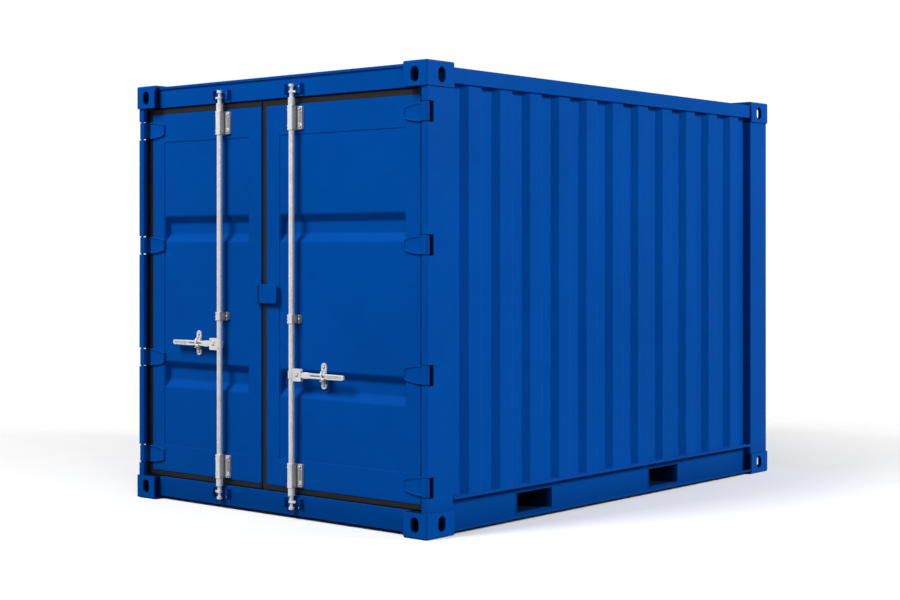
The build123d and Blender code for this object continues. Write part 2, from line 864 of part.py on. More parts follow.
# Centre lock plate: a half on each leaf, with a slit where the leaves part
def lock_plate(left, right, chamfered):
    with BuildPart() as plate:
        block(left, right,
              door_face_inset - lock_plate_thickness - half_length, door_face_inset - half_length,
              lock_plate_foot, lock_plate_foot + lock_plate_height)
        if chamfered:
            corners = plate.edges().filter_by(Axis.Y).group_by(Axis.X)[-1]
            chamfer(corners, length=lock_plate_chamfer)
    return plate.part


def save_door(side, leaf, gasket_edges, bar_x, handle_height, reach):
    save(leaf_frame(*leaf), f"{side}_door_frame")
    save(leaf_panel(*leaf), f"{side}_door_panel")
    save(leaf_gasket(leaf, *gasket_edges), f"{side}_door_gasket")
    save(bar_brackets(bar_x), f"{side}_bar_brackets")
    save(handle_catch(bar_x, handle_height, reach), f"{side}_handle_catch")
    save(lock_bar(bar_x, handle_height, reach), f"{side}_lock_bar")
    save(handle(bar_x, handle_height, reach), f"{side}_handle")


save_castings()
save_pair(front_post(), "post_front")
save_pair(rear_post(), "post_rear")
save_pair(top_side_rail(), "top_side_rail")
save_pair(bottom_side_rail(), "bottom_side_rail")
save_pair(side_wall(), "side_wall")
save_pair(hinges(), "door_hinges")
save(rear_rail(top_rail_bottom, top_rail_top), "rear_top_rail")
save(rear_rail(bottom_rail_foot, bottom_rail_top), "rear_bottom_rail")
save(rear_wall(), "rear_wall")
save(roof(), "roof")
save(door_header(), "door_header")
save(door_sill(), "door_sill")
save(floor(), "floor")
save(cross_members(), "cross_members")
save(fork_pockets(), "fork_pockets")

right_gasket_edge = left_leaf_edge + meeting_gap
save_door("left", (-leaf_outer_edge, left_leaf_edge), (-gasket_outer_edge, left_leaf_edge),
          left_bar_x, left_handle_height, -1)
save_door("right", (right_leaf_edge, leaf_outer_edge), (right_gasket_edge, gasket_outer_edge),
          right_bar_x, right_handle_height, 1)
save(lock_plate(lock_plate_left, left_leaf_edge, False), "left_lock_plate")
save(lock_plate(right_gasket_edge, lock_plate_right, True), "right_lock_plate")
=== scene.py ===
"""The looks of a steel shipping container: folded walls, pressed doors, lock gear and paint round its CAD frame.

Every length is in metres, in the frame's own axes: the doors face -Y, the length runs along Y, +Z is up.
"""
import math

import bpy
import numpy as np
from bpy.props import FloatProperty, FloatVectorProperty, PointerProperty
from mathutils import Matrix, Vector


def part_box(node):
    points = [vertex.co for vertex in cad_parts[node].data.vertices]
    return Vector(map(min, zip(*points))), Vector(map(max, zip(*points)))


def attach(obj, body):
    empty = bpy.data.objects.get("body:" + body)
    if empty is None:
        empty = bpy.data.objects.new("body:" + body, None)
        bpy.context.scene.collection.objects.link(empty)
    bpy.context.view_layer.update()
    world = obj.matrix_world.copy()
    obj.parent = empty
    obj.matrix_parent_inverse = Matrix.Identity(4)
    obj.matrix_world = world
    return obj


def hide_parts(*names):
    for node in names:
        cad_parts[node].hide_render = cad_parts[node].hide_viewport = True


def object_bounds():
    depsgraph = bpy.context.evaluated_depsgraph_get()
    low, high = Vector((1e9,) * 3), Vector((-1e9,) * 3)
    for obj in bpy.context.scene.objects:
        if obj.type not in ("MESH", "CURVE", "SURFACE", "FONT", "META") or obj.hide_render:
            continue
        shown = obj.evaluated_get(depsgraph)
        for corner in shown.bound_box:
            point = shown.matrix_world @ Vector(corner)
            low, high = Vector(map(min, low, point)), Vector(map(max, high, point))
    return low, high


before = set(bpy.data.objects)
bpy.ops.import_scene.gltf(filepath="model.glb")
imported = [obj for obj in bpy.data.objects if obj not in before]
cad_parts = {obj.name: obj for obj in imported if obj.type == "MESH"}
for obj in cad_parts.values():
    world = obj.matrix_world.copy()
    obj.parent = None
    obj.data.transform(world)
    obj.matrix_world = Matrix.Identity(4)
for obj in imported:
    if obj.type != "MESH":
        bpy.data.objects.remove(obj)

bl_info = {
    "name": "Shipping container",
    "version": (1, 0, 0),
    "blender": (4, 5, 0),
    "location": "View3D > Sidebar > Container",
    "description": "Dresses the CAD model of a steel shipping container",
    "category": "Object",
}

CAD_LOW, CAD_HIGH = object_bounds()
HALF_WIDTH, HALF_LENGTH, HEIGHT = CAD_HIGH

# The sides and the way each lies along X
SIDES = {"left": -1, "right": 1}

# Lock gear. An inset is a depth behind the castings' front, which lies at -HALF_LENGTH.
HUB_RADIUS = 0.015
# From a lever's hub to the middle of its catch
CATCH_REACH = 0.178
PANEL_INSET = 0.061
# Half height of the outer brackets, the middle one's height above the ground, and how far all of them reach
# to the left of the bar
TALL_BRACKET = 0.0715
MIDDLE_BRACKET = 1.1615
BRACKET_HEEL = 0.031

BOARD_WIDTH = 0.29


def bar_middle(side):
    """X of a lock bar's axis, from its brackets' CAD box."""
    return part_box(f"{side}_bar_brackets")[0].x + BRACKET_HEEL


def bracket_heights(side):
    """Middles of a lock bar's low and high brackets."""
    low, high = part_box(f"{side}_bar_brackets")
    return low.z + TALL_BRACKET, high.z - TALL_BRACKET


def catch_middle(side):
    """X and Z of a catch's middle."""
    low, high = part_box(f"{side}_handle_catch")
    return (low.x + high.x) / 2, (low.z + high.z) / 2


def lever_hub(side):
    """Middle of a lever's hub, in the end of its CAD box that is nearer to the bar."""
    low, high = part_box(f"{side}_handle")
    hub_x = low.x + HUB_RADIUS if side == "right" else high.x - HUB_RADIUS
    return np.array([hub_x, (low.y + high.y) / 2, (low.z + high.z) / 2])


# Shader expressions
def reckoning(operation, reflected=False):
    """A method that adds a Math node on its wire and another value, the other way round if reflected."""
    def method(self, other):
        return self.paint.math(operation, *((other, self) if reflected else (self, other)))
    return method


class Wire:
    """A shader socket that Python's operators reckon with: each one adds a Math node."""

    def __init__(self, paint, socket):
        self.paint = paint
        self.socket = socket

    __add__, __radd__ = reckoning("ADD"), reckoning("ADD", reflected=True)
    __sub__, __rsub__ = reckoning("SUBTRACT"), reckoning("SUBTRACT", reflected=True)
    __mul__, __rmul__ = reckoning("MULTIPLY"), reckoning("MULTIPLY", reflected=True)
    __truediv__, __rtruediv__ = reckoning("DIVIDE"), reckoning("DIVIDE", reflected=True)
    __lt__, __gt__ = reckoning("LESS_THAN"), reckoning("GREATER_THAN")
    least, most = reckoning("MINIMUM"), reckoning("MAXIMUM")

    def __abs__(self):
        return self.paint.math("ABSOLUTE", self)


class Paint:
    """The node tree of a material or of the world, and the few calls that fill it."""

    def __init__(self, owner):
        owner.use_nodes = True
        self.tree = owner.node_tree
        self.tree.nodes.clear()

    def node(self, kind, sockets=None, out=0, **settings):
        """One node: its settings first, then the values or wires of its sockets, by name or number."""
        made = self.tree.nodes.new(kind)
        for name, value in settings.items():
            setattr(made, name, value)
        for name, value in (sockets or {}).items():
            socket = made.inputs[name]
            if isinstance(value, Wire):
                self.tree.links.new(value.socket, socket)
            else:
                socket.default_value = value
        return Wire(self, made.outputs[out]) if made.outputs else None

    def math(self, operation, first, second=0.0):
        return self.node("ShaderNodeMath", {0: first, 1: second}, operation=operation)

    def span(self, value, low, high, start=0.0, stop=1.0):
        """Value carried from one span to another, held at its ends."""
        return self.node("ShaderNodeMapRange", {"Value": value, "From Min": low, "From Max": high,
                                                "To Min": start, "To Max": stop}, clamp=True)

    def mix(self, share, first, second):
        """Two colours mixed by a share from 0 to 1."""
        first, second = (colour if isinstance(colour, Wire) else (*colour, 1.0) for colour in (first, second))
        return self.node("ShaderNodeMix", {0: share, 6: first, 7: second}, 2, data_type="RGBA")

    def places(self, stretch=(1, 1, 1)):
        """Object coordinates, stretched."""
        here = self.node("ShaderNodeTexCoord", out="Object")
        return self.node("ShaderNodeMapping", {"Vector": here, "Scale": stretch})

    def noise(self, where, scale, detail, roughness=0.5, twist=0.0):
        return self.node("ShaderNodeTexNoise", {"Vector": where, "Scale": scale, "Detail": detail,
                                                "Roughness": roughness, "Distortion": twist})

    def axis(self, where, letter):
        return self.node("ShaderNodeSeparateXYZ", {"Vector": where}, letter)

    def facing(self, letter):
        """How far the surface faces along an axis of the object."""
        return self.axis(self.node("ShaderNodeNewGeometry", out="Normal"), letter)

    def bump(self, height, distance, strength=0.5, **normal):
        """A relief so many metres deep. Normal=... is a relief that it lies on."""
        return self.node("ShaderNodeBump", {"Height": height, "Distance": distance, "Strength": strength,
                                            **normal})

    def finish(self, **sockets):
        """The shader and the output. Names of more than one word have _ for their blanks."""
        shader = self.node("ShaderNodeBsdfPrincipled", {name.replace("_", " "): v for name, v in sockets.items()})
        self.node("ShaderNodeOutputMaterial", {"Surface": shader})


# Surfaces
def grid_faces(rows, columns, closed=False):
    """Corner numbers of the squares between the points of a grid of that many rows and columns. In a closed
    grid the last column is joined to the first."""
    number = np.arange(rows * columns).reshape(rows, columns)
    if closed:
        number = np.column_stack([number, number[:, 0]])
    corners = (number[:-1, :-1], number[:-1, 1:], number[1:, 1:], number[1:, :-1])
    return np.stack(corners, axis=-1).reshape(-1, 4)


def make_piece(name, points, faces, finish):
    """A smooth object at the origin from an array of points, an array of squares and a finish's name."""
    mesh = bpy.data.meshes.new(name)
    mesh.from_pydata(np.reshape(points, (-1, 3)), [], faces, shade_flat=False)
    mesh.materials.append(finish_named(finish))
    piece = bpy.data.objects.new(name, mesh)
    bpy.context.scene.collection.objects.link(piece)
    return piece


def settle(piece, body, slot, *nodes):
    """Give a piece its body and hide the CAD nodes that it stands for. The record slot is not used."""
    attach(piece, body)
    if nodes:
        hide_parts(*nodes)
    return piece


def even_shade(piece):
    """Let the large faces keep their own shade and the small ones at their edges carry the turn."""
    piece.modifiers.new("shade", "WEIGHTED_NORMAL").mode = "FACE_AREA"
    return piece


def thicken(piece, thickness):
    """Give a sheet its wall, on its inner side."""
    wall = piece.modifiers.new("wall", "SOLIDIFY")
    wall.thickness = thickness
    wall.offset = -1.0
    wall.use_even_offset = True
    return even_shade(piece)


def mark_shade(piece, shares):
    """Note how much painted shade each point takes, for the finishes that read it."""
    painted_shade = piece.data.attributes.new("painted_shade", "FLOAT", "POINT")
    painted_shade.data.foreach_set("value", np.asarray(shares, np.float32).ravel())
    return piece


def unit(rows):
    """The rows' directions, each of length 1."""
    return rows / np.linalg.norm(rows, axis=-1, keepdims=True)


def rounded_line(places, radius, steps=5, hold=0.003):
    """A line of straight runs with its inner corners rounded: each corner C is replaced by the parabola from
    C - t*d1 to C + t*d2 with C as its control point, where d1 and d2 are the runs' directions and t is the
    radius times the tangent of half the turn. A point just outside each bend holds the flats flat."""
    places = np.asarray(places, float)
    runs = np.diff(places, axis=0)
    lengths, ways = np.linalg.norm(runs, axis=1), unit(runs)
    before, after, corner = ways[:-1], ways[1:], places[1:-1]
    turn = np.arccos(np.clip((before * after).sum(1), -1, 1))
    reach = np.minimum(radius * np.tan(turn / 2), 0.45 * np.minimum(lengths[:-1], lengths[1:]))[:, None]
    enter, leave = corner - before * reach, corner + after * reach
    share = np.linspace(0, 1, steps)[None, :, None]
    bend = ((1 - share) ** 2 * enter[:, None] + 2 * share * (1 - share) * corner[:, None]
            + share ** 2 * leave[:, None])
    held = np.concatenate([(enter - before * hold)[:, None], bend, (leave + after * hold)[:, None]], axis=1)
    return np.concatenate([places[:1], held.reshape(-1, 2), places[-1:]])


def slope_ends(middle, half, slope):
    """Where the two slopes of a fold or a trough begin and end, from its middle and half width. Several
    middles will do."""
    return (np.asarray(middle)[..., None] + np.array([-half, slope - half, half - slope, half])).ravel()


# Outer flats of each folded wall, the flat at its ends, and how far its folds lie off its middle
FOLDED_WALLS = {"side_wall_right": (11, 0.0995, 0.010), "side_wall_left": (11, 0.0995, 0.010),
                "rear_wall": (7, 0.1061, 0)}
WALL_FLAT, WALL_SLOPE, WALL_DEPTH = 0.108, 0.046, 0.030


def wall_line(name, radius):
    """A folded wall's line: places along it and how deep each lies, as in the CAD model but with rounded
    folds."""
    low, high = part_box(name)
    start, stop = (low.x, high.x) if name == "rear_wall" else (low.y, high.y)
    count, end_flat, shift = FOLDED_WALLS[name]
    pitch = (stop - start - 2 * end_flat - WALL_FLAT - 2 * WALL_SLOPE) / (count - 1)
    centre = (start + stop) / 2 + shift + (np.arange(count) - (count - 1) / 2) * pitch
    along = slope_ends(centre, WALL_FLAT / 2 + WALL_SLOPE, WALL_SLOPE)
    deep = np.tile([WALL_DEPTH, 0, 0, WALL_DEPTH], count)
    return rounded_line(np.column_stack([np.r_[start, along, stop], np.r_[WALL_DEPTH, deep, WALL_DEPTH]]), radius)


def on_wall(name, along, deep, up):
    """Places along a wall, deep behind its outer face and up, as X, Y and Z."""
    low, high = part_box(name)
    if name == "rear_wall":
        return np.stack([along, high.y - deep, up], axis=-1)
    outer = max(low.x, high.x, key=abs)
    return np.stack([outer - np.sign(outer) * deep, along, up], axis=-1)


def fold_lines(low, high, folds, radius, gap):
    """Places along one side of a sheet: four about each fold, and others between them no further apart than a
    gap."""
    folds = np.unique(np.round(folds[:, None] + radius * np.array([-1.0, -0.35, 0.35, 1.0]), 5))
    knots = np.r_[low, folds[(folds > low) & (folds < high)], high]
    runs = [np.linspace(a, b, max(1, math.ceil((b - a) / gap)) + 1)[:-1] for a, b in zip(knots[:-1], knots[1:])]
    return np.r_[np.concatenate(runs), high]


def ramp(share, blend):
    """From 0 to 1 along a straight slope that is joined to both levels by parabolas half as long as the
    blend: (s + b)^2 / 4b about 0, s between them, and 1 - (1 + b - s)^2 / 4b about 1."""
    foot = np.clip(share + blend, 0, 2 * blend) ** 2 / (4 * blend)
    rest = np.clip(share - blend, 0, 1 - 2 * blend)
    top = np.clip(share - 1 + blend, 0, 2 * blend)
    return foot + rest + top - top ** 2 / (4 * blend)


def pressed_depth(across, along, tubs, end, slope, depth, radius):
    """How deep a sheet is pressed at each place. A tub is given by its middle and half sizes at the face; its
    ends and its long sides slope inwards over widths of their own, so the depth follows the nearest side."""
    deep = 0 * (across + along)
    for middle_x, middle_y, half_x, half_y in tubs:
        inside = np.minimum((half_x - abs(across - middle_x)) / end, (half_y - abs(along - middle_y)) / slope)
        deep = np.maximum(deep, depth * ramp(inside, radius / slope))
    return deep


def wander(across, along, amount):
    """How deep the flats of a thin sheet lie: three slow sines of both ways about a mean amount."""
    return amount + amount * (np.sin(7.3 * across + 3.1 * along) + 0.7 * np.sin(17.0 * across - 5.3 * along + 1.0)
                              + 0.5 * np.sin(4.1 * along + 29.0 * across)) / 2.2


def rings(points):
    """Faces of a row of closed rings, each a row of the array."""
    return grid_faces(*points.shape[:2], closed=True)


def gather(parts):
    """Several surfaces' points and faces as one."""
    rows = [np.reshape(points, (-1, 3)) for points, _ in parts]
    starts = np.cumsum([0] + [len(row) for row in rows])
    return np.concatenate(rows), np.concatenate([faces + start for (_, faces), start in zip(parts, starts)])


def grooved_rings(stations, corner=0.004, steps=4):
    """Rings round a long piece as (along, depth, height), from stations of along, half height, front depth,
    back depth, depth of the groove in the front and in the back, and the half heights of its floor and of its
    brim as shares. Corners are quarter circles: depth f + c(1 - sin t), height h - c(1 - cos t)."""
    knots = np.arange(len(stations))
    fine = np.linspace(0, len(stations) - 1, (len(stations) - 1) * steps + 1)
    along, half, front, back, groove, rear_groove, floor, brim = (
        np.interp(fine, knots, column)[:, None] for column in np.asarray(stations, float).T)
    corner = np.minimum(corner, 0.45 * np.minimum(half, (back - front) / 2))
    turn = np.linspace(0, np.pi / 2, 4)[None]
    inwards, down = corner * (1 - np.sin(turn)), corner * (1 - np.cos(turn))
    level = np.concatenate([brim, floor, -floor, -brim], axis=1) * half
    dip = np.array([[0, 1, 1, 0]])
    depth = np.concatenate([front + inwards, front + groove * dip, front + inwards[:, ::-1],
                            back - inwards, back - rear_groove * dip, back - inwards[:, ::-1]], axis=1)
    height = np.concatenate([half - down, level, down[:, ::-1] - half,
                             down - half, -level, half - down[:, ::-1]], axis=1)
    return np.stack([along + 0 * depth, depth, height], axis=-1)


def slab(half_x, half_z, thickness, corner, gap, relief=None):
    """A flat plate with rounded corners and edges that lies on the wall y = 0 and faces -Y. Its grid of lines
    closes up at the rim, where the lines stand over one another and rise by a quarter circle. A corner square
    (a, b) is drawn into a quarter disc as (a sqrt(1 - b^2/2), b sqrt(1 - a^2/2)). Relief(x, z) is added to
    its front."""
    edge = 0.0015
    turn = np.linspace(0, np.pi / 2, 4)
    rise = np.r_[0, thickness - edge * (1 - np.sin(turn))]
    inset = np.r_[0, edge * (1 - np.cos(turn))]

    def lines(half):
        count = max(2, math.ceil(2 * (half - edge) / gap))
        middle = np.linspace(edge - half, half - edge, count + 1)[1:-1]
        return (np.r_[inset - half, middle, half - inset[::-1]],
                np.r_[rise, np.full(count - 1, thickness), rise[::-1]])

    (x, lift_x), (z, lift_z) = lines(half_x), lines(half_z)
    x, z = np.meshgrid(x, z)
    lift = np.minimum(*np.meshgrid(lift_x, lift_z))
    a = np.clip((abs(x) - half_x + corner) / corner, 0, 1)
    b = np.clip((abs(z) - half_z + corner) / corner, 0, 1)
    round_x = np.sign(x) * (abs(x) + corner * (a * np.sqrt(1 - b ** 2 / 2) - a))
    round_z = np.sign(z) * (abs(z) + corner * (b * np.sqrt(1 - a ** 2 / 2) - b))
    if relief is not None:
        lift = lift + relief(round_x, round_z) * (lift > 0.5 * thickness)
    faces = grid_faces(*x.shape)
    front = np.stack([round_x, -lift, round_z], axis=-1)
    return gather([(front, faces), (front * [1, 0, 1], faces[:, ::-1])])


def weld(piece):
    """Join points that lie together, such as a pole's."""
    piece.modifiers.new("weld", "WELD").merge_threshold = 0.00002
    return piece


def round_heads(heads, sides=14):
    """Domed bolt heads on a thin collar, seen from -Y, with the painted shade on each point, from rows of X, Y, Z,
    radius and height. The profile (r, h) is turned about each head's axis: a dome h = 1 - 0.9 r^2 down to the
    collar, whose edge drops to the plate and closes under it. Painted shade sits on the collar, round the head."""
    dome = np.linspace(0, 0.78, 5)
    profile = np.array([*zip(dome, 1 - 0.9 * dome ** 2), (0.80, 0.16), (1.16, 0.12), (1.18, 0.0), (0.0, -0.05)])
    angle = np.arange(sides) * 2 * np.pi / sides
    unit = np.stack([np.outer(profile[:, 0], np.cos(angle)), np.repeat(-profile[:, 1:], sides, axis=1),
                     np.outer(profile[:, 0], np.sin(angle))], axis=-1)
    heads = np.array(heads)[:, None, None]
    points = heads[..., :3] + unit * heads[..., [3, 4, 3]]
    # Painted shade: the collar of each head is darkened, where the head's shadow falls round it
    painted_shade = np.broadcast_to((profile[:, 0] > 0.79)[:, None], points.shape[:3])
    faces = grid_faces(len(profile), sides, closed=True)[:, ::-1]
    return *gather([(head, faces) for head in points]), painted_shade


def smooth_path(knots, steps):
    """A Catmull-Rom curve through the knots: each run from B to C with neighbours A and D is
    B + t(C - A)/2 + t^2(A - 5B/2 + 2C - D/2) + t^3(3(B - C) + D - A)/2."""
    knots = np.asarray(knots, float)
    wide = np.concatenate([2 * knots[:1] - knots[1:2], knots, 2 * knots[-1:] - knots[-2:-1]])
    a, b, c, d = (wide[i:len(wide) - 3 + i, None] for i in range(4))
    t = np.linspace(0, 1, steps, endpoint=False)[None, :, None]
    curve = b + t * (c - a) / 2 + t ** 2 * (a - 2.5 * b + 2 * c - 0.5 * d) + t ** 3 * (3 * (b - c) + d - a) / 2
    return np.concatenate([curve.reshape(-1, knots.shape[1]), knots[-1:]])


def sweep(path, across, lift, flat=(1, 0, 0), sides=10):
    """An oval carried along a path: its half width lies along the flat direction as far as the path allows,
    which is f - (f.w)w for a path that runs along w, and its half depth is square to both."""
    way = unit(np.gradient(path, axis=0))
    side = unit(flat - way * (way @ flat)[:, None])
    up = np.cross(way, side)
    angle = (np.arange(sides) * 2 * np.pi / sides)[None, :, None]
    across, lift = (np.broadcast_to(size, len(path))[:, None, None] for size in (across, lift))
    return path[:, None] + across * np.cos(angle) * side[:, None] + lift * np.sin(angle) * up[:, None]


# Paints and finishes
def blue_paint(paint, colours, cast=False):
    """Satin paint on steel: slow changes of shade, a fine orange peel, dust on level faces and faint rain
    marks. Its foot is darker, with painted shade near the ground. The underside has a dark coat, and the same
    dark colour is painted shade in the hinges' notches and inside the corner posts, or in a casting's hollow."""
    here = paint.places()
    slow = paint.noise(here, 1.3, 4.0, 0.55)
    fine = paint.noise(here, 9.0, 5.0, 0.6)
    shade = paint.mix(paint.span(slow, 0.35, 0.65), colours.blue_dark, colours.blue)
    shade = paint.mix(paint.span(fine, 0.45, 0.75, 0.0, 0.18), shade, colours.blue_worn)
    runs = paint.noise(paint.places((14, 14, 0.6)), 1.0, 5.0, 0.6)
    shade = paint.mix(paint.span(runs, 0.5, 0.8, 0.0, 0.10), shade, colours.blue_dark)
    top = paint.span(paint.facing("Z"), 0.6, 0.95) * paint.span(slow, 0.3, 0.7, 0.12, 0.3)
    shade = paint.mix(top, shade, colours.dust)
    up = paint.axis(here, "Z")
    # Distances inwards from the sides and from the ends
    side, end = HALF_WIDTH - abs(paint.axis(here, "X")), HALF_LENGTH - abs(paint.axis(here, "Y"))
    if cast:
        # Painted shade: a casting is darkened nearly to black from 2 mm to 16 mm inside its outer faces
        hollow = paint.span(side, 0.002, 0.016)
        for inwards in (end, up.least(HEIGHT - up)):
            hollow = hollow * paint.span(inwards, 0.002, 0.016)
        shade = paint.mix(hollow * 0.92, shade, colours.wax_and_shade)
        peel, grain = 160.0, 0.0005
    else:
        # Painted shade near the ground: the paint darkens towards the foot
        low = paint.span(up, 0.06, 0.22, 0.65, 0.0)
        shade = paint.mix(low * paint.span(fine, 0.2, 0.6, 0.85, 1.0), shade, colours.blue_low_shade)
        under = paint.span(side, 0.058, 0.100) * paint.span(end, 0.120, 0.160) * (up < 0.1625)
        # Painted shade: the hinges' notches and the insides of the corner posts take the underside's dark colour
        notch = paint.span(side, 0.013, 0.019) * (side < 0.079) * paint.span(end, 0.034, 0.040) * (end < 0.140)
        shade = paint.mix(under.most(notch) * paint.span(slow, 0.3, 0.7, 0.88, 0.97), shade, colours.wax_and_shade)
        peel, grain = 420.0, 0.0002
    relief = paint.bump(paint.noise(here, peel, 2.0), grain, 0.4)
    wave = paint.bump(paint.noise(here, 4.0, 2.0), 0.004, 0.35, Normal=relief)
    rough = paint.span(fine, 0.3, 0.7, 0.32, 0.42) + top
    paint.finish(Base_Color=shade, Roughness=rough, Normal=wave, Specular_IOR_Level=0.012)


def zinc_steel(paint, colours):
    """Zinc-coated steel under a pale wash: mottled grey with a grainy skin, darkened by painted shade in creases,
    round bolts and where parts meet.
    """
    here = paint.places()
    grain = paint.axis(paint.node("ShaderNodeTexVoronoi", {"Vector": here, "Scale": 90.0}, "Color"), "X")
    slow = paint.noise(here, 14.0, 4.0, 0.6)
    shade = paint.mix(paint.span(grain, 0.0, 1.0, 0.0, 0.4), colours.zinc, colours.zinc_dark)
    shade = paint.mix(paint.span(slow, 0.45, 0.75, 0.0, 0.5), shade, colours.zinc_dark)
    # Painted shade in creases, round bolts and where parts meet, read from each point
    painted_shade = paint.node("ShaderNodeAttribute", out="Fac", attribute_name="painted_shade")
    shade = paint.mix(painted_shade * 0.9, shade, colours.painted_shade)
    relief = paint.bump(paint.noise(here, 300.0, 3.0, 0.6), 0.0005)
    rough = paint.span(slow, 0.3, 0.7, 0.34, 0.46) + grain * 0.06
    paint.finish(Base_Color=shade, Roughness=rough, Metallic=0.2, Normal=relief, Specular_IOR_Level=0.3)


def seal_rubber(paint, colours):
    """Black rubber with a chalky bloom and fine drawn lines."""
    here = paint.places()
    bloom = paint.noise(here, 30.0, 5.0, 0.65)
    shade = paint.mix(paint.span(bloom, 0.4, 0.75, 0.0, 0.6), colours.rubber, colours.rubber_worn)
    relief = paint.bump(paint.noise(here, 250.0, 2.0), 0.0004)
    rough = paint.span(bloom, 0.3, 0.7, 0.5, 0.7)
    paint.finish(Base_Color=shade, Roughness=rough, Normal=relief, Specular_IOR_Level=0.12)


def floor_boards(paint, colours):
    """Sealed plywood in lengthwise boards: each board has its own shade, with long grain and dark joints."""
    here = paint.places()
    board = paint.axis(here, "X") / BOARD_WIDTH
    tone = paint.node("ShaderNodeTexWhiteNoise", {"W": paint.math("FLOOR", board)}, noise_dimensions="1D")
    grain = paint.noise(paint.places((38, 2.2, 38)), 1.0, 6.0, 0.6, 0.4)
    shade = paint.mix(paint.span(grain, 0.3, 0.7), colours.board_dark, colours.board)
    shade = paint.mix(tone * 0.35, shade, colours.board_dark)
    joint = paint.math("PINGPONG", board, 0.5) < 0.012
    shade = paint.mix(joint, shade, (0.02, 0.015, 0.01))
    shade = paint.mix(paint.facing("Z") < -0.5, shade, colours.board_under)
    relief = paint.bump(grain - joint, 0.0008, 0.6)
    rough = paint.span(grain, 0.3, 0.7, 0.5, 0.68)
    paint.finish(Base_Color=shade, Roughness=rough, Normal=relief, Specular_IOR_Level=0.35)


def studio_floor(paint, _):
    """A pale floor that thins out with distance, so that the white backdrop takes over. It throws little
    light back at the part."""
    here = paint.places()
    far = paint.node("ShaderNodeVectorMath", {0: here}, "Value", operation="LENGTH")
    colour = paint.mix(paint.span(paint.noise(here, 3.0, 2.0), 0.3, 0.7), [0.95] * 3, [0.97] * 3)
    camera, glossy = (paint.node("ShaderNodeLightPath", out=ray) for ray in ("Is Camera Ray", "Is Glossy Ray"))
    colour = paint.mix(camera.most(glossy), [0.16] * 3, colour)
    solid = paint.node("ShaderNodeBsdfPrincipled", {"Base Color": colour, "Roughness": 0.9,
                                                    "Specular IOR Level": 0.1})
    clear = paint.node("ShaderNodeBsdfTransparent")
    shader = paint.node("ShaderNodeMixShader", {0: paint.span(far, 2.6, 6.0), 1: solid, 2: clear})
    paint.node("ShaderNodeOutputMaterial", {"Surface": shader})


# Finishes by name: what fills their nodes, and its further settings
FINISHES = {"satin_blue": (blue_paint,), "cast_blue": (blue_paint, True), "bright_zinc": (zinc_steel,),
            "seal_rubber": (seal_rubber,), "plywood": (floor_boards,), "studio_floor": (studio_floor,)}


def finish_named(name):
    """A finish by name, made the first time it is asked for."""
    if name not in bpy.data.materials:
        fill, *settings = FINISHES[name]
        fill(Paint(bpy.data.materials.new(name)), bpy.context.scene.container_colours, *settings)
    return bpy.data.materials[name]


# Settings that a user would change
def tint(name, description, *colour):
    return FloatVectorProperty(name=name, description=description, subtype="COLOR", default=colour, min=0, max=1)


def length(name, description, default, least, most):
    return FloatProperty(name=name, description=description, default=default, min=least, max=most, unit="LENGTH")


class ContainerColours(bpy.types.PropertyGroup):
    blue: tint("Blue", "Paint of the steel body", 0.0, 0.059, 0.306)
    blue_dark: tint("Deep blue", "Darker patches of the paint", 0.0, 0.053, 0.272)
    blue_worn: tint("Worn blue", "Chalked paint", 0.0, 0.075, 0.335)
    # Colour of the painted shade near the ground
    blue_low_shade: tint("Low blue", "Paint near the ground", 0.0, 0.033, 0.168)
    # The underside's dark coat; the same colour is painted shade in the hinges' notches, inside the corner posts
    # and in castings' hollows
    wax_and_shade: tint("Wax", "Dark wax of the underside and the hollows", 0.001, 0.007, 0.030)
    dust: tint("Dust", "Dust on level faces", 0.03, 0.10, 0.32)
    zinc: tint("Zinc", "Coating of the lock gear", 0.70, 0.70, 0.70)
    zinc_dark: tint("Dull zinc", "Darker grains of the coating", 0.40, 0.40, 0.41)
    # Colour of the painted shade in the lock gear's creases, round its bolts and where its parts meet
    painted_shade: tint("Grime", "Grime in grooves and round bolts", 0.07, 0.07, 0.075)
    rubber: tint("Rubber", "Door seals", 0.006, 0.006, 0.0055)
    rubber_worn: tint("Chalky rubber", "Bloom on the seals", 0.014, 0.013, 0.011)
    board: tint("Boards", "Floor plywood", 0.34, 0.20, 0.10)
    board_dark: tint("Board grain", "Dark grain of the plywood", 0.20, 0.11, 0.05)
    board_under: tint("Board underside", "Wax coat under the boards", 0.022, 0.016, 0.011)


class ContainerSizes(bpy.types.PropertyGroup):
    fold_radius: length("Fold radius", "Bend of the folded sheets", 0.008, 0.001, 0.02)
    sheet: length("Sheet", "Thickness of the folded sheets", 0.002, 0.001, 0.005)
    dent: length("Waviness", "How far the flats of a sheet wander", 0.0008, 0, 0.005)
    camera_turn: FloatProperty(name="Camera turn", description="Camera's turn about the upright axis",
                               default=math.radians(40.34), subtype="ANGLE")


def cover(node, finish, edge):
    """Give a CAD node its finish, and round its sharp edges once its loose triangles are joined."""
    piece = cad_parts[node]
    piece.data.materials.clear()
    piece.data.materials.append(finish_named(finish))
    if edge:
        bevel = weld(piece).modifiers.new("edges", "BEVEL")
        bevel.width = edge
        bevel.segments = 2
        bevel.limit_method = "ANGLE"
        bevel.angle_limit = math.radians(38)
        even_shade(piece)


class CONTAINER_OT_finishes(bpy.types.Operator):
    """Paint every CAD node and round its edges"""

    bl_idname = "container.finishes"
    bl_label = "Finishes"

    # Words in nodes' names, the finish, and the width of the rounded edges. The first that fits counts.
    WORDS = (("casting", "cast_blue", 0.0025), ("gasket", "seal_rubber", 0.0025), ("floor", "plywood", 0.001),
             ("lock_bar", "bright_zinc", 0.0012), ("brackets", "bright_zinc", 0.0012),
             ("handle", "bright_zinc", 0.0012), ("fork_pockets", "satin_blue", 0), ("", "satin_blue", 0.002))

    def execute(self, context):
        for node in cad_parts:
            cover(node, *next(rest for word, *rest in self.WORDS if word in node))
        return {"FINISHED"}


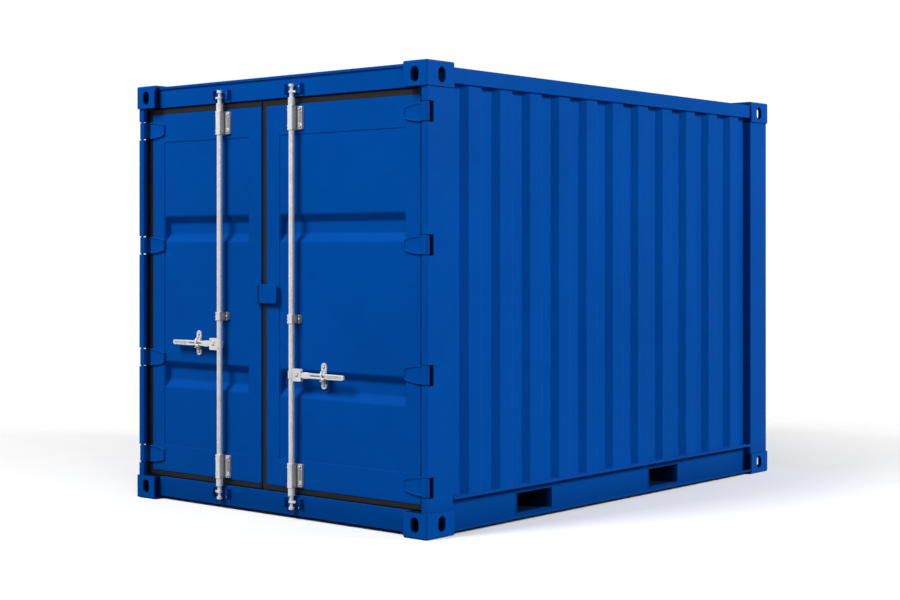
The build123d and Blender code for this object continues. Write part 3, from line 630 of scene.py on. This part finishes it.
class CONTAINER_OT_walls(bpy.types.Operator):
    """Fold the side walls and the rear wall from thin sheet"""

    bl_idname = "container.walls"
    bl_label = "Folded walls"

    def execute(self, context):
        sizes = context.scene.container_sizes
        for name in FOLDED_WALLS:
            low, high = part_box(name)
            line = wall_line(name, sizes.fold_radius)
            points = on_wall(name, *self.upright(line, low.z, high.z, sizes.dent))
            faces = grid_faces(*points.shape[:2])
            faces = faces if name == "side_wall_right" else faces[:, ::-1]
            sheet = thicken(make_piece(f"{name}_sheet", points, faces, "satin_blue"), sizes.sheet)
            settle(sheet, "container", "blue_paint", name)
        return {"FINISHED"}

    @staticmethod
    def upright(line, foot, top, dent):
        """The folded line carried up from foot to top, as places along, deep and up. Its flats wander
        inwards, and lie still at the sheet's edges."""
        rows = np.linspace(0, 1, 33)
        up, along = np.meshgrid(foot + (top - foot) * rows, line[:, 0], indexing="ij")
        held = np.minimum(1, 12 * np.minimum(rows, 1 - rows))[:, None]
        edge = np.clip(20 * np.minimum(along - along.min(), along.max() - along), 0, 1)
        return along, line[:, 1] + wander(along, up, dent) * held * edge, up


class CONTAINER_OT_welds(bpy.types.Operator):
    """Run the weld beads along the feet and the tops of the folded sheets, each tapered to a point at its
    ends"""

    bl_idname = "container.welds"
    bl_label = "Weld beads"

    def execute(self, context):
        for name in FOLDED_WALLS:
            low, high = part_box(name)
            along, deep = wall_line(name, context.scene.container_sizes.fold_radius).T
            from_end = np.arange(len(along))
            size = 0.0035 * np.minimum(1, np.minimum(from_end, from_end[::-1]))
            beads = [sweep(on_wall(name, along, deep, np.full(len(along), level)), size, size, (0, 0, 1), sides=6)
                     for level in (low.z + 0.001, high.z - 0.001)]
            points, faces = gather([(bead, rings(bead)) for bead in beads])
            settle(weld(make_piece(f"{name}_weld", points, faces, "satin_blue")), "container", "blue_paint")
        return {"FINISHED"}


class CONTAINER_OT_roof(bpy.types.Operator):
    """Press the roof sheet with its cross troughs"""

    bl_idname = "container.roof"
    bl_label = "Roof"

    TROUGHS, TROUGH_HALF, SLOPE, DEPTH = 16, 0.059, 0.0135, 0.020
    # From the sheet's edge to the troughs' ends, and from the container's end to the first trough
    END_GAP, FIRST_INSET = 0.030, 0.240
    # Where the sheet leaves out a corner for each casting
    CUT_X, CUT_Y = 1.047, 1.601

    def execute(self, context):
        sizes = context.scene.container_sizes
        low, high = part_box("roof")
        radius = 0.5 * sizes.fold_radius
        half_x = high.x - self.END_GAP
        first = HALF_LENGTH - self.FIRST_INSET - self.TROUGH_HALF
        middles = np.linspace(-first, first, self.TROUGHS)
        cuts_x, cuts_y = (np.array([-cut, cut]) for cut in (self.CUT_X, self.CUT_Y))
        ends = slope_ends(0, half_x, self.SLOPE)
        across = np.union1d(fold_lines(low.x, high.x, np.r_[ends, cuts_x], radius, 0.11), cuts_x)
        edges = slope_ends(middles, self.TROUGH_HALF, self.SLOPE)
        along = np.union1d(fold_lines(low.y, high.y, edges, radius, 0.06), cuts_y)
        x, y = np.meshgrid(across, along)
        tubs = [(0, middle, half_x, self.TROUGH_HALF) for middle in middles]
        deep = pressed_depth(x, y, tubs, self.SLOPE, self.SLOPE, self.DEPTH, radius)
        rest = np.clip(12 * np.minimum(high.x - abs(x), np.minimum(y - low.y, high.y - y)), 0, 1)
        deep = deep + wander(x, y, sizes.dent) * rest
        points = np.stack([x, y, high.z - deep], axis=-1).reshape(-1, 3)
        faces = grid_faces(len(along), len(across))
        middle = abs(points[faces].mean(axis=1))
        kept = faces[(middle[:, 0] < self.CUT_X) | (middle[:, 1] < self.CUT_Y)]
        used, faces = np.unique(kept, return_inverse=True)
        sheet = make_piece("roof_sheet", points[used], faces.reshape(kept.shape), "satin_blue")
        settle(thicken(sheet, sizes.sheet), "container", "blue_paint", "roof")
        return {"FINISHED"}


class CONTAINER_OT_door_panels(bpy.types.Operator):
    """Press the panels of both doors with their two cross channels"""

    bl_idname = "container.door_panels"
    bl_label = "Door panels"

    SHEET, CHANNEL_HALF, SLOPE, DEPTH = 0.003, 0.080, 0.045, 0.036
    # How far a channel's ends stay from the panel's edge, and how steeply they drop
    END_GAP, END_SLOPE = 0.006, 0.007
    # The channels' middles as shares of the panel's height
    HEIGHTS = np.array([0.2352, 0.7135])

    def execute(self, context):
        sizes = context.scene.container_sizes
        for side in SIDES:
            low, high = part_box(f"{side}_door_panel")
            middle_x, half_x = (low.x + high.x) / 2, (high.x - low.x) / 2 - self.END_GAP
            middles = low.z + self.HEIGHTS * (high.z - low.z)
            ends = slope_ends(middle_x, half_x, self.END_SLOPE)
            across = fold_lines(low.x, high.x, ends, 0.3 * self.END_SLOPE, 0.06)
            edges = slope_ends(middles, self.CHANNEL_HALF, self.SLOPE)
            upward = fold_lines(low.z, high.z, edges, sizes.fold_radius, 0.06)
            x, z = np.meshgrid(across, upward)
            tubs = [(middle_x, middle, half_x, self.CHANNEL_HALF) for middle in middles]
            deep = pressed_depth(x, z, tubs, self.END_SLOPE, self.SLOPE, self.DEPTH, sizes.fold_radius)
            edge = np.minimum(np.minimum(x - low.x, high.x - x), np.minimum(z - low.z, high.z - z))
            deep = deep + wander(x, z, sizes.dent) * np.clip(15 * edge, 0, 1)
            points = np.stack([x, low.y + deep, z], axis=-1)
            panel = make_piece(f"{side}_door_sheet", points, grid_faces(*x.shape), "satin_blue")
            settle(thicken(panel, self.SHEET), f"{side}_door", "blue_paint", f"{side}_door_panel")
        return {"FINISHED"}


class CONTAINER_OT_levers(bpy.types.Operator):
    """Forge both door levers with their grooves, and the retaining finger on each"""

    bl_idname = "container.levers"
    bl_label = "Levers"

    # Distance from the hub, half height, half thickness, groove depth, and the groove's share of the height
    STATIONS = np.array([
        (-15, 0.0, 5, 0, 0.3), (-14, 5.4, 5, 0, 0.3), (-11, 10.2, 5, 0, 0.3), (-6, 13.7, 5, 0, 0.3),
        (0, 15, 5, 0, 0.3), (46, 15, 5, 0, 0.3), (51, 17, 7, 0, 0.3), (55, 18.8, 8.8, 0, 0.3), (62, 19, 9, 0, 0.3),
        (92, 17, 9, 0, 0.3), (106, 16, 9, 0.6, 0.22), (116, 15.4, 9, 3.6, 0.18), (170, 15.4, 9, 3.8, 0.18),
        (218, 15.8, 9, 3.6, 0.18), (230, 16, 9, 0.8, 0.25), (238, 15.9, 9, 0.8, 0.5), (252, 15.7, 9, 1.4, 0.55),
        (352, 14.8, 8.8, 1.4, 0.5), (360, 14.5, 8.6, 0.2, 0.4), (367, 13.0, 7.9, 0, 0.3), (371, 10.2, 6.8, 0, 0.3),
        (373, 6.5, 5.2, 0, 0.3), (373, 0, 0, 0, 0.3),
    ]) * np.array([0.001, 0.001, 0.001, 0.001, 1])

    # Middle line of the finger, from the middle of the lever where it lies in its catch
    FINGER = np.array([(0.014, 0.028, 0.042), (0.014, 0.015, 0.034), (0.016, -0.001, 0.026),
                       (0.022, -0.012, 0.015), (0.022, -0.0135, 0.002), (0.026, -0.0135, -0.009),
                       (0.036, -0.0135, -0.016), (0.047, -0.0125, -0.013)])

    def execute(self, context):
        along, half, thick, groove, share = self.STATIONS.T
        ring = grooved_rings(np.column_stack([along, half, -thick, thick, groove, groove, share,
                                              np.minimum(share + 0.2, 0.72)]))
        for side, way in SIDES.items():
            lever = ring * [way, 1, 1] + lever_hub(side)
            faces = rings(lever)
            piece = weld(make_piece(f"{side}_lever", lever, faces if way > 0 else faces[:, ::-1], "bright_zinc"))
            mark_shade(even_shade(piece), self.painted_shade(lever.shape[:2]))
            settle(piece, f"{side}_lever", "lock_gear", f"{side}_handle")
            path = smooth_path(self.FINGER + lever_hub(side) + [way * CATCH_REACH, 0, 0], 6)
            taper = np.sqrt(np.clip(1 - np.linspace(-1, 1, len(path)) ** 8, 0, 1))
            finger = sweep(path, 0.0075 * taper, 0.0042 * taper)
            piece = weld(make_piece(f"{side}_retaining_finger", finger, rings(finger), "bright_zinc"))
            settle(piece, f"{side}_lever", "lock_gear")
        return {"FINISHED"}

    @classmethod
    def painted_shade(cls, shape):
        """Painted shade on the floors of the grooves, as dark as the grooves are deep."""
        fine = np.linspace(0, len(cls.STATIONS) - 1, shape[0])
        groove = np.interp(fine, np.arange(len(cls.STATIONS)), cls.STATIONS[:, 3])
        shares = np.zeros(shape)
        shares[:, [5, 6, 17, 18]] = np.clip(groove / 0.0035, 0, 1)[:, None]
        return shares


class CONTAINER_OT_hinge_straps(bpy.types.Operator):
    """Forge the four hinge straps of each door: a barrel round the pin and a blade with raised edges"""

    bl_idname = "container.hinge_straps"
    bl_label = "Hinge straps"

    HALF_HEIGHT = 0.0515
    BARREL_RADIUS = 0.014
    # Inset of the pin's axis, of the blade's brim and of the leaf's face behind it
    PIN, BRIM, LEAF = 0.027, 0.045, 0.057
    # Distance of the pin's axis from the container's side
    PIN_SIDE = 0.024
    # Distance from the pin to the blade's tip, and to where its edges start on their arc
    TIP, BEND, ARC = 0.186, 0.062, 0.38
    # The heights of the straps as shares of the way from the lowest to the highest
    HEIGHTS = np.array([0, 0.2984, 0.645, 1])
    # Between barrel and blade: distance from the pin, front inset and back inset
    ROOT = ((0.012, 0.013, 0.0415), (0.020, 0.013, 0.052), (0.026, 0.014, LEAF), (0.030, 0.017, LEAF),
            (0.033, 0.030, LEAF), (0.036, 0.042, LEAF), (0.042, BRIM, LEAF), (0.054, BRIM, LEAF))

    def execute(self, context):
        ring = self.strap()
        faces = rings(ring)
        for side, way in SIDES.items():
            low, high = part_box(f"door_hinges_{side}")
            first, last = low.z + self.HALF_HEIGHT, high.z - self.HALF_HEIGHT
            pin_x = way * (HALF_WIDTH - self.PIN_SIDE)
            straps = [(ring * [-way, 1, 1] + [pin_x, -HALF_LENGTH, level], faces if way < 0 else faces[:, ::-1])
                      for level in first + self.HEIGHTS * (last - first)]
            piece = even_shade(weld(make_piece(f"{side}_hinge_straps", *gather(straps), "satin_blue")))
            settle(piece, f"{side}_door", "blue_paint", f"door_hinges_{side}")
        return {"FINISHED"}

    @classmethod
    def strap(cls):
        """One strap's rings, from the barrel's back to the tip. The blade's edges fall along an arc of radius
        a by a - sqrt(a^2 - s^2), and its face is sunk between them."""
        half, tip, brim, leaf, sunk = cls.HALF_HEIGHT, cls.TIP, cls.BRIM, cls.LEAF, 0.004
        turn = np.linspace(-np.pi / 2, 0, 6)
        far, reach = cls.BARREL_RADIUS * np.sin(turn), cls.BARREL_RADIUS * np.cos(turn)
        rows = [(a, half, cls.PIN - r, cls.PIN + r, 0, 0) for a, r in zip(far, reach)]
        rows += [(a, half, front, back, 0, 0) for a, front, back in cls.ROOT]
        rows += [(0.056, half, brim, leaf, sunk, 0)]
        blade = np.linspace(cls.BEND, tip - 0.007, 10)
        fall = cls.ARC - np.sqrt(cls.ARC ** 2 - (blade - cls.BEND) ** 2)
        rows += [(a, half - drop, brim, leaf, sunk, 0) for a, drop in zip(blade, fall)]
        rows += [(tip - 0.006, 0.0330, brim, leaf, 0, 0), (tip - 0.002, 0.0325, brim + 0.0005, leaf, 0, 0),
                 (tip, 0.0315, 0.048, leaf, 0, 0), (tip, 0.0315, leaf, leaf, 0, 0)]
        rows = np.array(rows)
        shares = 1 - np.array([0.0095, 0.0080]) / rows[:, 1:2]
        return grooved_rings(np.column_stack([rows, shares]), corner=0.003, steps=2)


class CONTAINER_OT_brackets(bpy.types.Operator):
    """Shape the lock bars' brackets: a chamfered housing with a lip at both ends, and a bolted flange"""

    bl_idname = "container.brackets"
    bl_label = "Bar brackets"

    # Half height, reach of the flange from the bar's axis, and the insets of its back and its front
    TALL = (TALL_BRACKET, 0.063, 0.057, 0.042)
    SHORT = (0.0255, 0.044, PANEL_INSET, 0.048)

    def execute(self, context):
        for side in SIDES:
            bar_x = bar_middle(side)
            low, high = bracket_heights(side)
            parts = []
            for level, (half, toe, back, front) in ((low, self.TALL), (MIDDLE_BRACKET, self.SHORT),
                                                    (high, self.TALL)):
                parts.append(self.housing(bar_x, level, half, back))
                parts.append(self.flange(bar_x, level, half, toe, back, front))
            points, faces = gather(parts)
            piece = even_shade(weld(make_piece(f"{side}_brackets", points, faces, "bright_zinc")))
            mark_shade(piece, self.painted_shade(points[:, 0] - bar_x, points[:, 1] + HALF_LENGTH))
            settle(piece, f"{side}_door", "lock_gear", f"{side}_bar_brackets")
        return {"FINISHED"}

    @staticmethod
    def painted_shade(across, inset):
        """Painted shade on the foot close to the housing, on the floor of the recess, and a little on the
        housing's flanks."""
        close = (inset > 0.040) * np.clip((0.031 - abs(across)) / 0.003, 0, 1)
        floor = (abs(across - 0.047) < 0.013) * np.clip((inset - 0.044) / 0.003, 0, 1) * (inset < 0.050)
        # Painted shade: the housing's flanks are darkened as if turned from the light
        flank = 0.35 * (abs(across) > 0.0195) * (inset > 0.008)
        return np.maximum(np.maximum(close, floor), flank)

    @staticmethod
    def housing(bar_x, level, half, inset):
        """Rings of rounded corners up the bar, from the inset of the panel or the flange forwards: the front
        corners are chamfered by 5 mm, and a lip stands out 2 mm at both ends."""
        wide, front, cut = 0.0205, 0.0005, 0.005
        corners = np.array([(-wide, inset), (-wide, front + cut), (-wide + cut, front), (wide - cut, front),
                            (wide, front + cut), (wide, inset)])
        before = corners + 0.12 * (np.roll(corners, 1, axis=0) - corners)
        after = corners + 0.12 * (np.roll(corners, -1, axis=0) - corners)
        outline = np.stack([before, 0.25 * before + 0.5 * corners + 0.25 * after, after], axis=1).reshape(-1, 2)
        middle = np.array([0.0, 0.021])
        rim, shrink = half - np.array([0, 0, 0.0015, 0.008, 0.011]), np.array([0, 0.0012, 0, 0, 0.0018])
        heights, shrink = np.r_[-rim, rim[::-1]], np.r_[shrink, shrink[::-1]]
        shape = outline - unit(outline - middle) * shrink[:, None, None]
        shape[[0, -1]] = middle
        points = np.stack([bar_x + shape[..., 0], shape[..., 1] - HALF_LENGTH,
                           level + heights[:, None] + 0 * shape[..., 0]], axis=-1)
        return points, rings(points)

    @staticmethod
    def flange(bar_x, level, half, toe, back, front):
        """A foot, in a tall bracket with a raised pad under each bolt and, between the pads, a pressed recess
        with a rib in it."""
        half_x, middle_x = (toe + BRACKET_HEEL) / 2, bar_x + (toe - BRACKET_HEEL) / 2
        tall = half == TALL_BRACKET
        half_z = half - 0.004 if tall else half

        def relief(x, z):
            across = x + middle_x - bar_x
            reach = np.hypot(across - 0.0500, abs(z) - half_z + 0.016)
            pad = 0.002 * ramp((0.0125 - reach) / 0.002, 0.4)
            inside = np.minimum(0.0115 - abs(across - 0.047), half_z - 0.034 - abs(z))
            rib = 0.005 * ramp((0.0040 - abs(across - 0.046)) / 0.002, 0.4)
            return pad - np.maximum(0.006 * ramp(inside / 0.003, 0.4) - rib, 0)

        corner, pressing = (0.009, relief) if tall else (0.012, None)
        points, faces = slab(half_x, half_z, back - front, corner, gap=0.002, relief=pressing)
        return points + [middle_x, back - HALF_LENGTH, level], faces


class CONTAINER_OT_catches(bpy.types.Operator):
    """Shape the catch of each lever: an oblong plate on the panel and a slim hook that the lever lies in"""

    bl_idname = "container.catches"
    bl_label = "Lever catches"

    # Middle line of the hook from the catch's middle: X, inset from the castings' front, Z
    HOOK = np.array([(0.013, 0.059, -0.0300), (0.013, 0.052, -0.0296), (0.013, 0.040, -0.0285),
                     (0.014, 0.026, -0.0280), (0.015, 0.016, -0.0275), (0.016, 0.0105, -0.0240)])

    def execute(self, context):
        plate, plate_faces = slab(half_x=0.0215, half_z=0.0755, thickness=0.006, corner=0.0215, gap=0.0035)
        path = smooth_path(self.HOOK, 5)
        taper = np.sqrt(np.clip(1 - np.linspace(0, 1, len(path)) ** 10, 0, 1))
        taper[0] = 0
        hook = sweep(path, 0.0085 * taper, 0.0034 * taper)
        points, faces = gather([(plate + [0, PANEL_INSET, 0], plate_faces), (hook, rings(hook))])
        # Painted shade on the plate round the hook's foot, where the hook meets it
        near = np.hypot(points[:, 0] - self.HOOK[0, 0], points[:, 2] - self.HOOK[0, 2])
        painted_shade = np.clip((0.017 - near) / 0.005, 0, 1) * (points[:, 1] > 0.050)
        for side in SIDES:
            middle_x, middle_z = catch_middle(side)
            piece = make_piece(f"{side}_catch", points + [middle_x, -HALF_LENGTH, middle_z], faces, "bright_zinc")
            settle(mark_shade(even_shade(weld(piece)), painted_shade), f"{side}_door", "lock_gear", f"{side}_handle_catch")
        return {"FINISHED"}


class CONTAINER_OT_fasteners(bpy.types.Operator):
    """Set the bolts of the brackets, catches, hubs and cam keepers, and the floor's screws"""

    bl_idname = "container.fasteners"
    bl_label = "Fasteners"

    # Heads: X from the middle of the bar, hub or catch, inset, Z from the piece's middle, radius and height
    TALL = [(0.0500, 0.0405, -0.0515, 0.0078, 0.0085), (-0.0165, 0.0045, -0.0470, 0.0042, 0.0038),
            (0.0500, 0.0405, 0.0515, 0.0078, 0.0085), (-0.0165, 0.0045, 0.0470, 0.0042, 0.0038)]
    SHORT = [(-0.0165, 0.0045, 0, 0.0042, 0.0038), (0.0335, 0.0485, 0, 0.0072, 0.0075)]
    CATCH = [(0, 0.0550, -0.0530, 0.0090, 0.0075), (0, 0.0550, 0.0530, 0.0090, 0.0075)]
    HUB = [(0, 0.0115, 0, 0.0095, 0.0065)]
    FINGER = [(0.0450, 0.0065, -0.0110, 0.0065, 0.0045)]
    KEEPER = [(0.0420, 0.0430, 0, 0.0075, 0.0060)]
    KEEPER_HEIGHTS = (0.070, HEIGHT - 0.082)

    def execute(self, context):
        for side, way in SIDES.items():
            bar_x, (low, high) = bar_middle(side), bracket_heights(side)
            self.heads(f"{side}_door_bolts", f"{side}_door", (self.TALL, bar_x, low), (self.TALL, bar_x, high),
                       (self.SHORT, bar_x, MIDDLE_BRACKET), (self.CATCH, *catch_middle(side)))
            hub_x, _, hub_z = lever_hub(side)
            self.heads(f"{side}_hub_pin_head", f"{side}_bar", (self.HUB, hub_x, hub_z))
            self.heads(f"{side}_finger_pin", f"{side}_lever", (self.FINGER, hub_x + way * CATCH_REACH, hub_z))
        self.heads("keeper_bolts", "container", *[(self.KEEPER, bar_middle(side), level)
                                                  for side in SIDES for level in self.KEEPER_HEIGHTS])
        self.floor_screws()
        return {"FINISHED"}

    @staticmethod
    def heads(name, body, *groups):
        """Groups of heads as one piece, each a table and the X and Z that it is set out from."""
        rows = np.concatenate([np.array(table) + [x, -HALF_LENGTH, z, 0, 0] for table, x, z in groups])
        points, faces, painted_shade = round_heads(rows)
        settle(mark_shade(weld(make_piece(name, points, faces, "bright_zinc")), painted_shade), body, "lock_gear")

    @staticmethod
    def floor_screws():
        """Countersunk screws in rows across the boards. The heads are made facing -Y and turned to face +Z,
        which carries (x, y, z) to (x, z, -y)."""
        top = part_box("floor")[1].z
        points, faces, painted_shade = round_heads([(across, -top, along, 0.007, 0.0012)
                                            for along in np.linspace(-1.62, 1.62, 12)
                                            for across in np.arange(-3.5, 4) * BOARD_WIDTH], sides=6)
        piece = weld(make_piece("floor_screws", points[:, [0, 2, 1]] * [1, 1, -1], faces, "bright_zinc"))
        settle(mark_shade(piece, painted_shade), "container", "lock_gear")


class CONTAINER_OT_stage(bpy.types.Operator):
    """Floor, lamps, white backdrop and camera"""

    bl_idname = "container.stage"
    bl_label = "Stage"

    # The camera's place, focal length and shift, fitted to the photo's perspective
    PLACE, LENS, SHIFT = (7.038, -8.490, 1.574), 65.92, -0.0579

    def execute(self, context):
        scene = context.scene
        across, along = np.meshgrid(*[np.linspace(-9, 9, 13)] * 2)
        points = np.stack([across, along, 0 * across - 0.0005], axis=-1)
        floor = make_piece("studio_floor", points, grid_faces(*across.shape), "studio_floor")
        self.backdrop(scene)
        self.lamp("key_lamp", (-3.9, -11.8, 12.5), (0, 0, 1.2), power=3080, size=7.0)
        self.lamp("side_lamp", (16.6, 9.5, 9.8), (0, 0, 1.2), power=4800, size=5.0)
        self.lamp("corner_lamp", (5.5, -5.5, 3.0), (1.2, -1.8, 1.3), power=95, size=2.0)
        self.camera(scene)
        return {"FINISHED"}

    @staticmethod
    def backdrop(scene):
        """White where it is seen straight, in gloss or through something clear, a plain soft light
        elsewhere."""
        scene.world = bpy.data.worlds.new("studio")
        paint = Paint(scene.world)
        seen, soft = (paint.node("ShaderNodeBackground", {"Color": (1, 1, 1, 1), "Strength": strength})
                      for strength in (1.0, 0.16))
        camera, glossy, through = (paint.node("ShaderNodeLightPath", out=name)
                                   for name in ("Is Camera Ray", "Is Glossy Ray", "Is Transmission Ray"))
        shader = paint.node("ShaderNodeMixShader", {0: camera.most(glossy).most(through), 1: soft, 2: seen})
        paint.node("ShaderNodeOutputWorld", {"Surface": shader})

    @staticmethod
    def lamp(name, place, aim, power, size):
        """A square lamp of that many watts, turned from its place to what it aims at."""
        data = bpy.data.lights.new(name, "AREA")
        data.energy = power
        data.shape = "SQUARE"
        data.size = size
        lamp = bpy.data.objects.new(name, data)
        bpy.context.scene.collection.objects.link(lamp)
        lamp.location = place
        lamp.rotation_euler = (Vector(place) - Vector(aim)).to_track_quat("Z", "Y").to_euler()

    @classmethod
    def camera(cls, scene):
        data = bpy.data.cameras.new("camera")
        data.sensor_width = 36
        data.lens = cls.LENS
        data.shift_y = cls.SHIFT
        data.clip_end = 100
        camera = bpy.data.objects.new("camera", data)
        scene.collection.objects.link(camera)
        camera.location = cls.PLACE
        camera.rotation_euler = (math.pi / 2, 0, scene.container_sizes.camera_turn)
        scene.camera = camera
        scene.view_settings.view_transform = "Standard"


class CONTAINER_PT_panel(bpy.types.Panel):
    """The container's operators in the sidebar"""

    bl_idname = "CONTAINER_PT_panel"
    bl_label = "Container"
    bl_space_type = "VIEW_3D"
    bl_region_type = "UI"
    bl_category = "Container"

    def draw(self, context):
        for operator in OPERATORS:
            self.layout.operator(operator.bl_idname)


OPERATORS = (CONTAINER_OT_stage, CONTAINER_OT_finishes, CONTAINER_OT_walls, CONTAINER_OT_welds, CONTAINER_OT_roof,
             CONTAINER_OT_door_panels, CONTAINER_OT_hinge_straps, CONTAINER_OT_brackets, CONTAINER_OT_levers,
             CONTAINER_OT_catches, CONTAINER_OT_fasteners)
CLASSES = (ContainerColours, ContainerSizes, *OPERATORS, CONTAINER_PT_panel)


def register():
    for kind in CLASSES:
        bpy.utils.register_class(kind)
    bpy.types.Scene.container_colours = PointerProperty(type=ContainerColours)
    bpy.types.Scene.container_sizes = PointerProperty(type=ContainerSizes)


def unregister():
    del bpy.types.Scene.container_sizes
    del bpy.types.Scene.container_colours
    for kind in reversed(CLASSES):
        bpy.utils.unregister_class(kind)


def main():
    register()
    for operator in OPERATORS:
        family, name = operator.bl_idname.split(".")
        result = getattr(getattr(bpy.ops, family), name)()
        if result != {"FINISHED"}:
            raise RuntimeError(f"{operator.bl_idname} did not finish")


if __name__ == "__main__":
    main()
